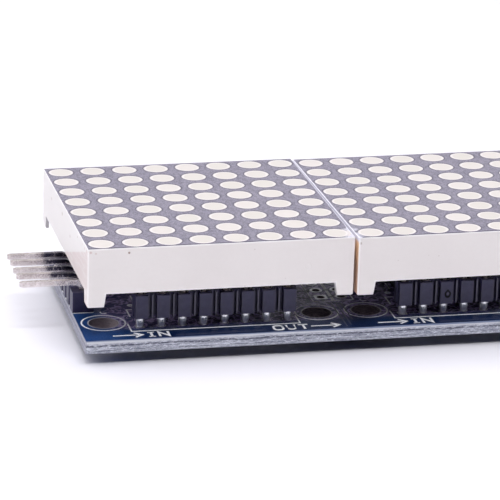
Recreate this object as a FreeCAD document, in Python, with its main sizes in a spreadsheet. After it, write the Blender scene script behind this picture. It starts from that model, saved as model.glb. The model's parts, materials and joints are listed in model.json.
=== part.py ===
import FreeCAD, Part
import math
import os
import Sketcher

# Chained dot matrix display module: one long circuit board that carries four square
# eight-by-eight dot displays, each plugged into two machined-pin socket strips, with a
# driver chip underneath and a five-way right-angle header at the left end.
#
# Frame: millimetres, +Z up. The origin is the centre of the board's underside, which is
# also the centre of its four rectangles of mounting holes. +X runs along the chain, away
# from the input header, and +Y runs to the back row of sockets.

doc = FreeCAD.newDocument("DotMatrixModule")

# ---------------------------------------------------------------- driving dimensions
SIZES = [
    # circuit board
    ("board_length", 128.0),
    ("board_width", 32.0),
    ("board_thick", 1.6),
    ("module_pitch", 32.0),
    ("module_count", 4),
    ("mount_hole_dia", 3.5),
    ("mount_hole_dx", 12.95),
    ("mount_hole_dy", 10.2),
    ("pin_pitch", 2.54),
    ("row_offset", 12.0),
    ("way_count", 8),
    ("plated_dia", 0.9),
    ("header_column", 14.73),
    ("header_ways", 5),
    ("header_hole_dia", 1.0),
    # display housing
    ("face_height", 12.8),
    ("housing_width", 31.8),
    ("housing_height", 7.15),
    ("skirt_rise", 1.65),
    ("skirt_wall", 1.0),
    ("roof_thick", 3.4),
    ("foot_width", 1.95),
    ("foot_draft", 0.26),
    ("thin_foot", 0.42),
    ("corner_round", 0.2),
    ("rim_round", 0.06),
    ("dot_pitch", 4.0),
    ("dot_count", 8),
    ("dot_dia", 2.8),
    ("well_floor_dia", 1.9),
    # how far each display sits turned on its sockets, in degrees
    ("display_turn_1", 0.45),
    ("display_turn_2", 0.93),
    ("display_turn_3", 0.6),
    ("display_turn_4", 0.3),
    # how far each display sits along the board from the middle of its two sockets
    ("display_shift_1", -0.13),
    ("display_shift_2", -0.08),
    ("display_shift_3", 0.0),
    ("display_shift_4", 0.03),
    # cast resin, inner board, chips and pins of a display
    ("resin_recess", 0.3),
    ("inner_board_width", 29.3),
    ("inner_board_thick", 1.0),
    ("inner_board_drop", 0.1),
    ("die_width", 0.36),
    ("die_height", 0.2),
    ("lead_dia", 0.5),
    ("lead_end", 2.05),
    # socket strip
    ("strip_lift", 1.4),
    ("strip_height", 2.8),
    ("strip_depth", 2.5),
    ("strip_post", 1.55),
    ("strip_core", 0.5),
    ("strip_rib", 0.17),
    ("strip_rib_depth", 2.0),
    ("strip_stub", 0.16),
    # turned contact
    ("contact_dia", 1.32),
    ("contact_collar_dia", 1.42),
    ("contact_collar", 0.05),
    ("contact_neck_dia", 1.08),
    ("contact_neck", 1.38),
    ("contact_tail_dia", 0.5),
    ("tail_drop", 1.5),
    ("contact_bore_dia", 0.84),
    ("contact_bore_floor", 0.3),
    ("clip_low", 0.6),
    ("clip_high", 2.5),
    ("clip_mouth_dia", 0.62),
    # driver chip
    ("chip_length", 15.4),
    ("chip_width", 7.5),
    ("chip_stand", 0.15),
    ("chip_lower", 0.95),
    ("chip_band", 0.27),
    ("chip_upper", 1.13),
    ("chip_draft", 7.0),
    ("chip_span", 10.3),
    ("chip_lead_width", 0.42),
    ("chip_lead_pitch", 1.27),
    ("chip_lead_ways", 12),
    # small components
    ("can_dia", 4.0),
    ("can_top", 5.3),
    ("can_base", 0.75),
    ("can_base_width", 4.3),
    ("can_x", -10.6),
    ("can_y", 2.6),
    ("small_length", 2.0),
    ("small_width", 1.25),
    ("ceramic_height", 0.9),
    ("resistor_height", 0.55),
    ("small_x", 10.4),
    ("small_y", 2.6),
    # right-angle header
    ("header_block", 2.54),
    ("header_notch", 0.5),
    ("header_pin", 0.64),
    ("header_pin_height", 3.5),
    ("header_pin_reach", 6.2),
    ("header_bend", 0.85),
    ("header_tip", 0.38),
    ("header_tip_width", 0.46),
    # solder
    ("solder_foot_dia", 1.85),
    ("solder_rise", 0.9),
    ("solder_neck_dia", 0.72),
]

sheet = doc.addObject("Spreadsheet::Sheet", "Dimensions")
for row, (alias, number) in enumerate(SIZES, start=1):
    sheet.set("A%d" % row, alias)
    sheet.set("B%d" % row, repr(number))
    sheet.setAlias("B%d" % row, alias)
doc.recompute()


class Size:
    """A size read from the sheet together with the sheet formula that gives it."""

    def __init__(self, value, formula):
        self.value = float(value)
        self.formula = formula

    def __add__(self, other):
        other = as_size(other)
        return Size(self.value + other.value, "(%s + %s)" % (self.formula, other.formula))

    def __sub__(self, other):
        other = as_size(other)
        return Size(self.value - other.value, "(%s - %s)" % (self.formula, other.formula))

    def __mul__(self, other):
        other = as_size(other)
        return Size(self.value * other.value, "(%s * %s)" % (self.formula, other.formula))

    def __truediv__(self, other):
        other = as_size(other)
        return Size(self.value / other.value, "(%s / %s)" % (self.formula, other.formula))

    def __radd__(self, other):
        return as_size(other) + self

    def __rsub__(self, other):
        return as_size(other) - self

    def __rmul__(self, other):
        return as_size(other) * self

    def __neg__(self):
        return Size(-self.value, "(0 - %s)" % self.formula)


def as_size(x):
    return x if isinstance(x, Size) else Size(x, "%.6g" % x if x >= 0 else "(0 - %.6g)" % -x)


def D(alias):
    return Size(sheet.get(alias), "Dimensions." + alias)


def bind(obj, prop, size):
    obj.setExpression(prop, as_size(size).formula)


# ---------------------------------------------------------------- sketches and features
def origin_plane(body, role):
    for f in body.Origin.OriginFeatures:
        if f.Role == role:
            return f
    raise RuntimeError("no origin feature " + role)


def new_body(name, x=0, y=0, z=0, turn=None):
    """A body standing at a place; turn is in degrees about its own upright axis."""
    body = doc.addObject("PartDesign::Body", name)
    body.Label = name
    spin = FreeCAD.Rotation()
    if turn is not None:
        spin = FreeCAD.Rotation(FreeCAD.Vector(0, 0, 1), turn.value)
    body.Placement = FreeCAD.Placement(
        FreeCAD.Vector(as_size(x).value, as_size(y).value, as_size(z).value), spin
    )
    for axis, s in (("x", x), ("y", y), ("z", z)):
        bind(body, "Placement.Base." + axis, s)
    if turn is not None:
        bind(body, "Placement.Rotation.Angle", turn)
    return body


def new_sketch(body, name, role="XY_Plane", shift=(0, 0, 0)):
    """A sketch on one of the body's own origin planes; shift is in the plane's own axes."""
    sk = body.newObject("Sketcher::SketchObject", name)
    sk.AttachmentSupport = [(origin_plane(body, role), "")]
    sk.MapMode = "FlatFace"
    sizes = [as_size(s) for s in shift]
    sk.AttachmentOffset = FreeCAD.Placement(
        FreeCAD.Vector(*[s.value for s in sizes]), FreeCAD.Rotation()
    )
    for axis, s in zip("xyz", sizes):
        if s.value:
            bind(sk, "AttachmentOffset.Base." + axis, s)
    return sk


def pin_point(sk, geo, pos, x, y):
    for kind, s in (("DistanceX", as_size(x)), ("DistanceY", as_size(y))):
        n = sk.addConstraint(Sketcher.Constraint(kind, -1, 1, geo, pos, s.value))
        sk.setExpression("Constraints[%d]" % n, s.formula)


def polygon(sk, points):
    """A closed outline whose corners are each held by sheet formulas."""
    pts = [(as_size(x), as_size(y)) for x, y in points]
    first = sk.GeometryCount
    n = len(pts)
    for i in range(n):
        a, b = pts[i], pts[(i + 1) % n]
        sk.addGeometry(
            Part.LineSegment(
                FreeCAD.Vector(a[0].value, a[1].value, 0), FreeCAD.Vector(b[0].value, b[1].value, 0)
            ),
            False,
        )
    for i in range(n):
        sk.addConstraint(Sketcher.Constraint("Coincident", first + i, 2, first + (i + 1) % n, 1))
    for i in range(n):
        pin_point(sk, first + i, 1, pts[i][0], pts[i][1])


def rectangle(sk, x0, y0, x1, y1):
    polygon(sk, [(x0, y0), (x1, y0), (x1, y1), (x0, y1)])


def circle(sk, x, y, dia):
    x, y, dia = as_size(x), as_size(y), as_size(dia)
    g = sk.addGeometry(
        Part.Circle(FreeCAD.Vector(x.value, y.value, 0), FreeCAD.Vector(0, 0, 1), dia.value / 2), False
    )
    n = sk.addConstraint(Sketcher.Constraint("Diameter", g, dia.value))
    sk.setExpression("Constraints[%d]" % n, dia.formula)
    pin_point(sk, g, 3, x, y)


def volume(body):
    return body.Shape.Volume


def pad(body, sk, length, name, down=False, middle=False, draft=None):
    f = body.newObject("PartDesign::Pad", name)
    f.Profile = sk
    f.Refine = False
    f.Length = as_size(length).value
    bind(f, "Length", length)
    if middle:
        f.SideType = "Symmetric"
    f.Reversed = down
    if draft is not None:
        f.TaperAngle = as_size(draft).value
        bind(f, "TaperAngle", draft)
    return f


def pocket(body, sk, name, length=None, up=False):
    """Cuts against the sketch's normal, or along it where up is set."""
    f = body.newObject("PartDesign::Pocket", name)
    f.Profile = sk
    f.Refine = False
    f.Reversed = up
    if length is None:
        f.Type = "ThroughAll"
    else:
        f.Length = as_size(length).value
        bind(f, "Length", length)
    return f


def revolve(body, sk, name, cut=False):
    f = body.newObject("PartDesign::Groove" if cut else "PartDesign::Revolution", name)
    f.Profile = sk
    f.ReferenceAxis = (sk, ["V_Axis"])
    f.Angle = 360.0
    f.Refine = False
    return f


def run_along(f, body, axis, length, count):
    f.Direction = (origin_plane(body, axis), [""])
    f.Length = as_size(length).value
    bind(f, "Length", length)
    f.Occurrences = int(as_size(count).value)
    bind(f, "Occurrences", count)
    f.Refine = False


def in_line(body, features, name, axis, pitch, count):
    f = body.newObject("PartDesign::LinearPattern", name)
    f.Originals = features
    run_along(f, body, axis, as_size(pitch) * (as_size(count) - 1), count)
    body.Tip = f
    return f


def mirrored(body, features, name, role):
    f = body.newObject("PartDesign::Mirrored", name)
    f.Originals = features
    f.MirrorPlane = (origin_plane(body, role), [""])
    f.Refine = False
    body.Tip = f
    return f


def array(body, features, name, steps):
    """Several patterns, one after the other: (axis, pitch, count), or a plane's role."""
    f = body.newObject("PartDesign::MultiTransform", name)
    f.Originals = features
    f.Refine = False
    subs = []
    for i, step in enumerate(steps):
        if isinstance(step, str):
            t = doc.addObject("PartDesign::Mirrored", "%s_step%d" % (name, i))
            t.MirrorPlane = (origin_plane(body, step), [""])
        else:
            axis, pitch, count = step
            t = doc.addObject("PartDesign::LinearPattern", "%s_step%d" % (name, i))
            run_along(t, body, axis, as_size(pitch) * (as_size(count) - 1), count)
        subs.append(t)
    f.Transformations = subs
    body.Tip = f
    return f


def edges_where(feature, test):
    names = []
    for i, e in enumerate(feature.Shape.Edges, start=1):
        if test(e):
            names.append("Edge%d" % i)
    return names


def round_edges(body, base, names, radius, name):
    f = body.newObject("PartDesign::Fillet", name)
    f.Base = (base, names)
    f.Radius = as_size(radius).value
    bind(f, "Radius", radius)
    return f


def at_level(e, z):
    return all(abs(v.Z - z) < 1e-6 for v in e.Vertexes)


SUB_PARTS = []


def keep(obj, label):
    obj.Label = label
    SUB_PARTS.append((obj, label))
    return obj


half = lambda s: as_size(s) / 2
span8 = D("pin_pitch") * (D("way_count") - 1) / 2  # from the middle of a pin row to its end pin
dot_end = D("dot_pitch") * (D("dot_count") - 1) / 2  # from the middle of a face to its end dot


def module_x(k):
    """Middle of display k (1 to 4) along the board."""
    return D("module_pitch") * (as_size(k) - (D("module_count") + 1) / 2)


# ---------------------------------------------------------------- circuit board
board = new_body("circuit_board")
sk = new_sketch(board, "board_outline")
rectangle(
    sk, -half(D("board_length")), -half(D("board_width")), half(D("board_length")), half(D("board_width"))
)
pad(board, sk, D("board_thick"), "board_plate")
first_x = module_x(1)

# four mounting holes per module, near the module's corners
sk = new_sketch(board, "mounting_holes")
for sx in (-1, 1):
    for sy in (-1, 1):
        circle(sk, first_x + D("mount_hole_dx") * sx, D("mount_hole_dy") * sy, D("mount_hole_dia"))
doc.recompute()
whole = volume(board)
cut = pocket(board, sk, "mounting_hole_cut", up=True)
in_line(board, [cut], "mounting_hole_row", "X_Axis", D("module_pitch"), D("module_count"))
doc.recompute()
want = 16 * math.pi * (D("mount_hole_dia").value / 2) ** 2 * D("board_thick").value
assert abs(whole - volume(board) - want) < 0.02 * want, "mounting holes"

# plated holes of the two socket rows of each module
sk = new_sketch(board, "socket_hole")
circle(sk, first_x - span8, -D("row_offset"), D("plated_dia"))
cut = pocket(board, sk, "socket_hole_cut", up=True)
array(
    board,
    [cut],
    "socket_hole_rows",
    [("X_Axis", D("pin_pitch"), D("way_count")), "XZ_Plane", ("X_Axis", D("module_pitch"), D("module_count"))],
)
# plated holes of the input and the output column of each module
sk = new_sketch(board, "header_hole")
for side in (-1, 1):
    circle(
        sk,
        first_x + D("header_column") * side,
        -(D("pin_pitch") * (D("header_ways") - 1) / 2),
        D("header_hole_dia"),
    )
cut = pocket(board, sk, "header_hole_cut", up=True)
array(
    board,
    [cut],
    "header_hole_columns",
    [("Y_Axis", D("pin_pitch"), D("header_ways")), ("X_Axis", D("module_pitch"), D("module_count"))],
)
keep(board, "circuit_board")

# ---------------------------------------------------------------- displays
foot_plane = D("face_height") - D("housing_height")
roof_under = D("housing_height") - D("roof_thick")  # ceiling of the hollow behind the wells
inner_top = roof_under - D("inner_board_drop")
inner_low = inner_top - D("inner_board_thick")
resin_low = D("skirt_rise") + D("resin_recess")


def well_profile(sk, top, low):
    """Half section of one conical reflector well, about the sketch's upright axis."""
    polygon(
        sk,
        [(0, low), (half(D("well_floor_dia")), low), (half(D("dot_dia")), top), (0, top)],
    )


def make_display(k):
    tag = "display_%d_" % k
    x = module_x(k) + D("display_shift_%d" % k)
    turn = D("display_turn_%d" % k)

    # white reflector shell: rounded block, notched skirt with four corner feet, hollow, wells
    shell = new_body(tag + "housing", x, 0, foot_plane, turn)
    w = half(D("housing_width"))
    top = D("housing_height")
    sk = new_sketch(shell, tag + "outline")
    rectangle(sk, -w, -w, w, w)
    block = pad(shell, sk, top, tag + "block")
    doc.recompute()
    low_and_upright = edges_where(
        block, lambda e: at_level(e, 0) or abs(e.Vertexes[0].Z - e.Vertexes[-1].Z) > 1
    )
    soft = round_edges(shell, block, low_and_upright, D("corner_round"), tag + "corner_rounds")
    doc.recompute()
    rim = edges_where(soft, lambda e: at_level(e, top.value))
    round_edges(shell, soft, rim, D("rim_round"), tag + "rim_round")
    foot = w - D("foot_width")
    for role, name in (("XZ_Plane", "front_notch"), ("YZ_Plane", "side_notch")):
        sk = new_sketch(shell, tag + name, role)
        polygon(
            sk,
            [
                (-foot, -1),
                (foot, -1),
                (foot, 0),
                (foot - D("foot_draft"), D("skirt_rise")),
                (-(foot - D("foot_draft")), D("skirt_rise")),
                (-foot, 0),
            ],
        )
        f = shell.newObject("PartDesign::Pocket", tag + name + "_cut")
        f.Profile = sk
        f.Refine = False
        f.Type = "ThroughAll"
        f.SideType = "Symmetric"
    if k == 1:
        # the first display's rear left foot is only a thin fin on its side wall
        sk = new_sketch(shell, tag + "thin_foot")
        reach = foot - D("foot_draft")
        rectangle(sk, -(w - D("thin_foot")), reach, -reach, w + 1)
        pocket(shell, sk, tag + "thin_foot_cut", D("skirt_rise"), up=True)
    sk = new_sketch(shell, tag + "hollow")
    c = w - D("skirt_wall")
    rectangle(sk, -c, -c, c, c)
    pocket(shell, sk, tag + "hollow_cut", roof_under, up=True)
    doc.recompute()
    before = volume(shell)
    sk = new_sketch(shell, tag + "well", "XZ_Plane", (-dot_end, 0, dot_end))
    well_profile(sk, top, roof_under)
    well = revolve(shell, sk, tag + "well_cut", cut=True)
    array(
        shell,
        [well],
        tag + "wells",
        [("X_Axis", D("dot_pitch"), D("dot_count")), ("Y_Axis", D("dot_pitch"), D("dot_count"))],
    )
    doc.recompute()
    ra, rb, h = D("dot_dia").value / 2, D("well_floor_dia").value / 2, D("roof_thick").value
    want = 64 * math.pi * h / 3 * (ra * ra + ra * rb + rb * rb)
    assert abs(before - volume(shell) - want) < 0.01 * want, "wells"
    keep(shell, tag + "housing")

    # inner board; the leads below cut its sixteen holes
    inner = new_body(tag + "inner_blank", x, 0, foot_plane, turn)
    sk = new_sketch(inner, tag + "inner_outline", shift=(0, 0, inner_low))
    b = half(D("inner_board_width"))
    rectangle(sk, -b, -b, b, b)
    pad(inner, sk, D("inner_board_thick"), tag + "inner_plate")

    # one light-emitting chip on the inner board under the middle of each well
    dies = new_body(tag + "led_chips", x, 0, foot_plane, turn)
    sk = new_sketch(dies, tag + "die_outline", shift=(0, 0, inner_top))
    q = half(D("die_width"))
    rectangle(sk, -dot_end - q, -dot_end - q, -dot_end + q, -dot_end + q)
    die = pad(dies, sk, D("die_height"), tag + "die")
    array(
        dies,
        [die],
        tag + "dies",
        [("X_Axis", D("dot_pitch"), D("dot_count")), ("Y_Axis", D("dot_pitch"), D("dot_count"))],
    )
    keep(dies, tag + "led_chips")

    # sixteen round leads in two rows, from the inner board down into the sockets; they stand
    # over the contacts and so are neither turned nor shifted
    leads = new_body(tag + "pins", module_x(k), 0, foot_plane)
    sk = new_sketch(leads, tag + "lead_section", shift=(0, 0, -D("lead_end")))
    circle(sk, -span8, -D("row_offset"), D("lead_dia"))
    lead = pad(leads, sk, inner_top + D("lead_end"), tag + "lead")
    array(
        leads,
        [lead],
        tag + "leads",
        [("X_Axis", D("pin_pitch"), D("way_count")), "XZ_Plane"],
    )
    keep(leads, tag + "pins")
    bored = doc.addObject("Part::Cut", tag + "led_board")
    bored.Base = inner
    bored.Tool = leads
    bored.Refine = False
    keep(bored, tag + "led_board")

    # cast resin: slab behind the roof with a plug up each well, poured round the inner board
    blank = new_body(tag + "resin_blank", x, 0, foot_plane, turn)
    sk = new_sketch(blank, tag + "resin_outline", shift=(0, 0, resin_low))
    rectangle(sk, -c, -c, c, c)
    pad(blank, sk, roof_under - resin_low, tag + "resin_slab")
    sk = new_sketch(blank, tag + "plug", "XZ_Plane", (-dot_end, 0, dot_end))
    well_profile(sk, top, roof_under)
    plug = revolve(blank, sk, tag + "plug_turn")
    array(
        blank,
        [plug],
        tag + "plugs",
        [("X_Axis", D("dot_pitch"), D("dot_count")), ("Y_Axis", D("dot_pitch"), D("dot_count"))],
    )
    inside = doc.addObject("Part::Compound", tag + "cast_in")
    inside.Links = [bored, dies, leads]
    resin = doc.addObject("Part::Cut", tag + "epoxy")
    resin.Base = blank
    resin.Tool = inside
    resin.Refine = False
    keep(resin, tag + "epoxy")


for k in (1, 2, 3, 4):
    make_display(k)

# ---------------------------------------------------------------- socket strips
strip_floor = D("board_thick") + D("strip_lift")


def make_strip(name, k, side):
    x, y = module_x(k), D("row_offset") * side
    strip = new_body(name, x, y, strip_floor)
    deep, post, core = half(D("strip_depth")), half(D("strip_post")), half(D("strip_core"))
    rib, rib_deep = half(D("strip_rib")), half(D("strip_rib_depth"))
    end = span8 + post + D("strip_stub")
    sk = new_sketch(strip, name + "_spine")
    rectangle(sk, -end, -core, end, core)
    pad(strip, sk, D("strip_height"), name + "_spine_pad")
    sk = new_sketch(strip, name + "_post")
    rectangle(sk, -span8 - post, -deep, -span8 + post, deep)
    f = pad(strip, sk, D("strip_height"), name + "_post_pad")
    in_line(strip, [f], name + "_posts", "X_Axis", D("pin_pitch"), D("way_count"))
    sk = new_sketch(strip, name + "_rib")
    mid = -span8 + D("pin_pitch") / 2
    rectangle(sk, mid - rib, -rib_deep, mid + rib, rib_deep)
    f = pad(strip, sk, D("strip_height"), name + "_rib_pad")
    in_line(strip, [f], name + "_ribs", "X_Axis", D("pin_pitch"), D("way_count") - 1)
    sk = new_sketch(strip, name + "_bore")
    circle(sk, -span8, 0, D("contact_dia"))
    f = pocket(strip, sk, name + "_bore_cut", D("strip_height"), up=True)
    in_line(strip, [f], name + "_bores", "X_Axis", D("pin_pitch"), D("way_count"))
    keep(strip, name)

    # turned contacts: collar, sleeve with a blind bore, neck below the strip, tail through the board
    turned = new_body(name + "_contacts", x, y, strip_floor)
    sk = new_sketch(turned, name + "_contact_half", "XZ_Plane", (-span8, 0, 0))
    top = D("strip_height")
    neck = D("contact_neck")
    tail = strip_floor + D("tail_drop")
    rb, rn, rt = half(D("contact_dia")), half(D("contact_neck_dia")), half(D("contact_tail_dia"))
    rc, ri = half(D("contact_collar_dia")), half(D("contact_bore_dia"))
    polygon(
        sk,
        [
            (0, -tail),
            (rt - 0.06, -tail),
            (rt, 0.08 - tail),
            (rt, -neck - 0.01),
            (rn - 0.16, -neck),
            (rn - 0.10, -neck + 0.05),
            (rn - 0.06, -neck + 0.3),
            (rn - 0.01, -neck + 0.62),
            (rn, -0.5),
            (rn - 0.03, -0.2),
            (rn - 0.12, -0.05),
            (rn - 0.2, 0),
            (rb, 0),
            (rb, top),
            (rc, top),
            (rc, top + D("contact_collar") - 0.02),
            (rc - 0.02, top + D("contact_collar")),
            (ri + 0.16, top + D("contact_collar")),
            (ri, top - 0.12),
            (ri, D("contact_bore_floor")),
            (0, D("contact_bore_floor") - 0.2),
        ],
    )
    f = revolve(turned, sk, name + "_contact")
    in_line(turned, [f], name + "_contact_row", "X_Axis", D("pin_pitch"), D("way_count"))
    keep(turned, name + "_contacts")


for k in (1, 2, 3, 4):
    make_strip("front_socket_%d" % k, k, -1)
    make_strip("rear_socket_%d" % k, k, 1)

# sprung sleeve inside every contact, gripping the display's lead
clips = new_body("contact_clips", 0, 0, strip_floor)
sk = new_sketch(clips, "clip_half", "XZ_Plane", (first_x - span8, 0, D("row_offset")))
ri, rl, rm = half(D("contact_bore_dia")), half(D("lead_dia")), half(D("clip_mouth_dia"))
lo, hi = D("clip_low"), D("clip_high")
polygon(sk, [(rl, lo), (ri, lo), (ri, hi), (rm, hi), (rl, lo + (hi - lo) * 0.45)])
f = revolve(clips, sk, "clip")
array(
    clips,
    [f],
    "clip_rows",
    [("X_Axis", D("pin_pitch"), D("way_count")), "XZ_Plane", ("X_Axis", D("module_pitch"), D("module_count"))],
)
keep(clips, "contact_clips")


# ---------------------------------------------------------------- driver chips
def make_chip(k):
    name = "driver_chip_%d" % k
    chip = new_body(name, module_x(k), 0, D("board_thick"))
    hx, hy = half(D("chip_length")), half(D("chip_width"))
    band = D("chip_stand") + D("chip_lower")
    sk = new_sketch(chip, name + "_band", shift=(0, 0, band))
    rectangle(sk, -hx, -hy, hx, hy)
    pad(chip, sk, D("chip_band"), name + "_band_pad")
    sk = new_sketch(chip, name + "_lid", shift=(0, 0, band + D("chip_band")))
    rectangle(sk, -hx, -hy, hx, hy)
    pad(chip, sk, D("chip_upper"), name + "_lid_pad", draft=-D("chip_draft"))
    sk = new_sketch(chip, name + "_base", shift=(0, 0, band))
    rectangle(sk, -hx, -hy, hx, hy)
    pad(chip, sk, D("chip_lower"), name + "_base_pad", down=True, draft=-D("chip_draft"))
    sk = new_sketch(chip, name + "_dimple", shift=(0, 0, band + D("chip_band") + D("chip_upper")))
    circle(sk, -hx + 1.5, -hy + 1.4, 0.9)
    pocket(chip, sk, name + "_dimple_cut", 0.08)
    keep(chip, name)

    legs = new_body(name + "_leads", module_x(k), 0, D("board_thick"))
    out = half(D("chip_span"))
    t = D("chip_band")
    sk = new_sketch(
        legs, name + "_leg_side", "YZ_Plane", (0, 0, -(D("chip_lead_pitch") * (D("chip_lead_ways") - 1) / 2))
    )
    # gull wing seen along the row: flat out of the body, down, and a foot on the board
    polygon(
        sk,
        [
            (-hy, band),
            (-hy, band + t),
            (-hy - 0.42, band + t),
            (-hy - 0.62, band + t - 0.2),
            (-hy - 0.78, t + 0.04),
            (-hy - 0.86, t),
            (-out, t),
            (-out, 0),
            (-hy - 0.7, 0),
            (-hy - 0.56, 0.14),
            (-hy - 0.36, band - 0.06),
            (-hy - 0.3, band),
        ],
    )
    f = pad(legs, sk, D("chip_lead_width"), name + "_leg", middle=True)
    array(
        legs,
        [f],
        name + "_legs",
        [("X_Axis", D("chip_lead_pitch"), D("chip_lead_ways")), "XZ_Plane"],
    )
    keep(legs, name + "_leads")


for k in (1, 2, 3, 4):
    make_chip(k)


# ---------------------------------------------------------------- capacitors and resistors
def make_can(k):
    name = "electrolytic_capacitor_%d" % k
    can = new_body(name, module_x(k) + D("can_x"), D("can_y"), D("board_thick"))
    sk = new_sketch(can, name + "_half", "XZ_Plane")
    r, base, top = half(D("can_dia")), D("can_base"), D("can_top")
    polygon(
        sk,
        [
            (0, base),
            (r - 0.1, base),
            (r, base + 0.12),
            (r, base + 0.75),
            (r - 0.22, base + 0.95),
            (r - 0.22, base + 1.1),
            (r, base + 1.3),
            (r, top - 0.35),
            (r - 0.1, top - 0.12),
            (r - 0.32, top),
            (0, top),
        ],
    )
    revolve(can, sk, name + "_can")
    keep(can, name)


for k in (1, 2, 3, 4):
    make_can(k)

bases = new_body("capacitor_bases", first_x + D("can_x"), D("can_y"), D("board_thick"))
sk = new_sketch(bases, "capacitor_base_outline")
q = half(D("can_base_width"))
polygon(sk, [(-q, -q), (q - 0.7, -q), (q, -q + 0.7), (q, q - 0.7), (q - 0.7, q), (-q, q)])
f = pad(bases, sk, D("can_base"), "capacitor_base")
in_line(bases, [f], "capacitor_base_row", "X_Axis", D("module_pitch"), D("module_count"))
keep(bases, "capacitor_bases")

for label, y, tall in (
    ("ceramic_capacitors", D("small_y"), D("ceramic_height")),
    ("resistors", -D("small_y"), D("resistor_height")),
):
    small = new_body(label, first_x + D("small_x"), y, D("board_thick"))
    sk = new_sketch(small, label + "_outline")
    a, b = half(D("small_width")), half(D("small_length"))
    rectangle(sk, -a, -b, a, b)
    f = pad(small, sk, tall, label + "_block")
    in_line(small, [f], label + "_row", "X_Axis", D("module_pitch"), D("module_count"))
    keep(small, label)

# ---------------------------------------------------------------- input header
header_x = first_x - D("header_column")
header_half = D("pin_pitch") * D("header_ways") / 2
block = new_body("input_header", header_x, 0, D("board_thick"))
sk = new_sketch(block, "header_outline")
q = half(D("header_block"))
rectangle(sk, -q, -header_half, q, header_half)
pad(block, sk, D("header_block"), "header_plate")
# notches between the ways, down both long sides
sk = new_sketch(block, "header_notches")
n = D("header_notch")
y0 = -header_half + D("pin_pitch")
for side in (-1, 1):
    polygon(
        sk,
        [
            (q * side, y0 - n),
            ((q - n) * side, y0 - 0.12),
            ((q - n) * side, y0 + 0.12),
            (q * side, y0 + n),
            ((q + 0.5) * side, y0 + n),
            ((q + 0.5) * side, y0 - n),
        ],
    )
f = pocket(block, sk, "header_notch_cut", D("header_block"), up=True)
in_line(block, [f], "header_notch_row", "Y_Axis", D("pin_pitch"), D("header_ways") - 1)
sk = new_sketch(block, "header_pin_hole")
p = half(D("header_pin"))
y0 = -(D("pin_pitch") * (D("header_ways") - 1) / 2)
rectangle(sk, -p, y0 - p, p, y0 + p)
f = pocket(block, sk, "header_pin_hole_cut", D("header_block"), up=True)
in_line(block, [f], "header_pin_holes", "Y_Axis", D("pin_pitch"), D("header_ways"))
keep(block, "input_header")


def bent_pin(y, lift_deg):
    """One square pin: up through the block, round a bend, and out past the board's left
    edge. lift_deg is how far its outer run was bent off the level, as on the real one."""
    v = lambda name: D(name).value
    w, r = v("header_pin"), v("header_bend")
    zc = v("board_thick") + v("header_pin_height")
    low = -v("tail_drop")
    tip = -v("board_length") / 2 - v("header_pin_reach")
    x0 = header_x.value
    h = w / 2
    turn = math.radians(90 - lift_deg)
    # outline in the XZ plane: outer side up, round the bend, out to the tip, and back inside
    cx, cz = x0 - r, zc - r
    e0 = FreeCAD.Vector(x0 + h, 0, cz)
    e1 = FreeCAD.Vector(cx + (r + h) * math.cos(turn), 0, cz + (r + h) * math.sin(turn))
    em = FreeCAD.Vector(cx + (r + h) * math.cos(turn / 2), 0, cz + (r + h) * math.sin(turn / 2))
    i0 = FreeCAD.Vector(x0 - h, 0, cz)
    i1 = FreeCAD.Vector(cx + (r - h) * math.cos(turn), 0, cz + (r - h) * math.sin(turn))
    im = FreeCAD.Vector(cx + (r - h) * math.cos(turn / 2), 0, cz + (r - h) * math.sin(turn / 2))
    d = FreeCAD.Vector(-math.sin(turn), 0, math.cos(turn))
    mid = (e1 + i1) * 0.5
    run = (mid.x - tip) / abs(d.x)
    nose = v("header_tip")
    across = (e1 - i1).normalize()
    a1, a2 = e1 + d * (run - nose), i1 + d * (run - nose)
    t = v("header_tip_width") / 2
    b1, b2 = mid + d * run + across * t, mid + d * run - across * t
    foot = 0.3
    points = [
        FreeCAD.Vector(x0 - h, 0, low + foot),
        FreeCAD.Vector(x0 - t, 0, low),
        FreeCAD.Vector(x0 + t, 0, low),
        FreeCAD.Vector(x0 + h, 0, low + foot),
        e0,
    ]
    edges = [Part.LineSegment(points[i], points[i + 1]).toShape() for i in range(4)]
    edges.append(Part.Arc(e0, em, e1).toShape())
    edges.append(Part.LineSegment(e1, a1).toShape())
    edges.append(Part.LineSegment(a1, b1).toShape())
    edges.append(Part.LineSegment(b1, b2).toShape())
    edges.append(Part.LineSegment(b2, a2).toShape())
    edges.append(Part.LineSegment(a2, i1).toShape())
    edges.append(Part.Arc(i1, im, i0).toShape())
    edges.append(Part.LineSegment(i0, points[0]).toShape())
    face = Part.Face(Part.Wire(edges))
    face.translate(FreeCAD.Vector(0, y - h, 0))
    solid = face.extrude(FreeCAD.Vector(0, w, 0))
    # the tip and the tail are pointed on all four sides
    for end, direction, length in (
        (mid + d * run, d, nose),
        (FreeCAD.Vector(x0, 0, low), FreeCAD.Vector(0, 0, -1), foot),
    ):
        for s in (-1, 1):
            y_in, y_out = y + s * t, y + s * (h + 0.01)
            back = end - direction * length
            side = direction.cross(FreeCAD.Vector(0, 1, 0)).normalize() * w
            tri = [
                FreeCAD.Vector(end.x, y_in, end.z) + direction * 0.001,
                FreeCAD.Vector(end.x, y_out, end.z) + direction * 0.001,
                FreeCAD.Vector(back.x, y_out, back.z),
            ]
            tri = [q_ - side for q_ in tri]
            wedge = Part.Face(Part.makePolygon(tri + [tri[0]])).extrude(side * 2)
            solid = solid.cut(wedge)
    return solid.Solids[0] if solid.Solids else solid


LIFTS = (0.0, 1.2, -0.4, 0.8, 0.0)  # degrees, front to back
pins = doc.addObject("Part::Feature", "input_header_pins")
pins.Shape = Part.makeCompound(
    [bent_pin((i - 2) * D("pin_pitch").value, lift) for i, lift in enumerate(LIFTS)]
)
pins.Placement = FreeCAD.Placement()
keep(pins, "input_header_pins")

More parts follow.
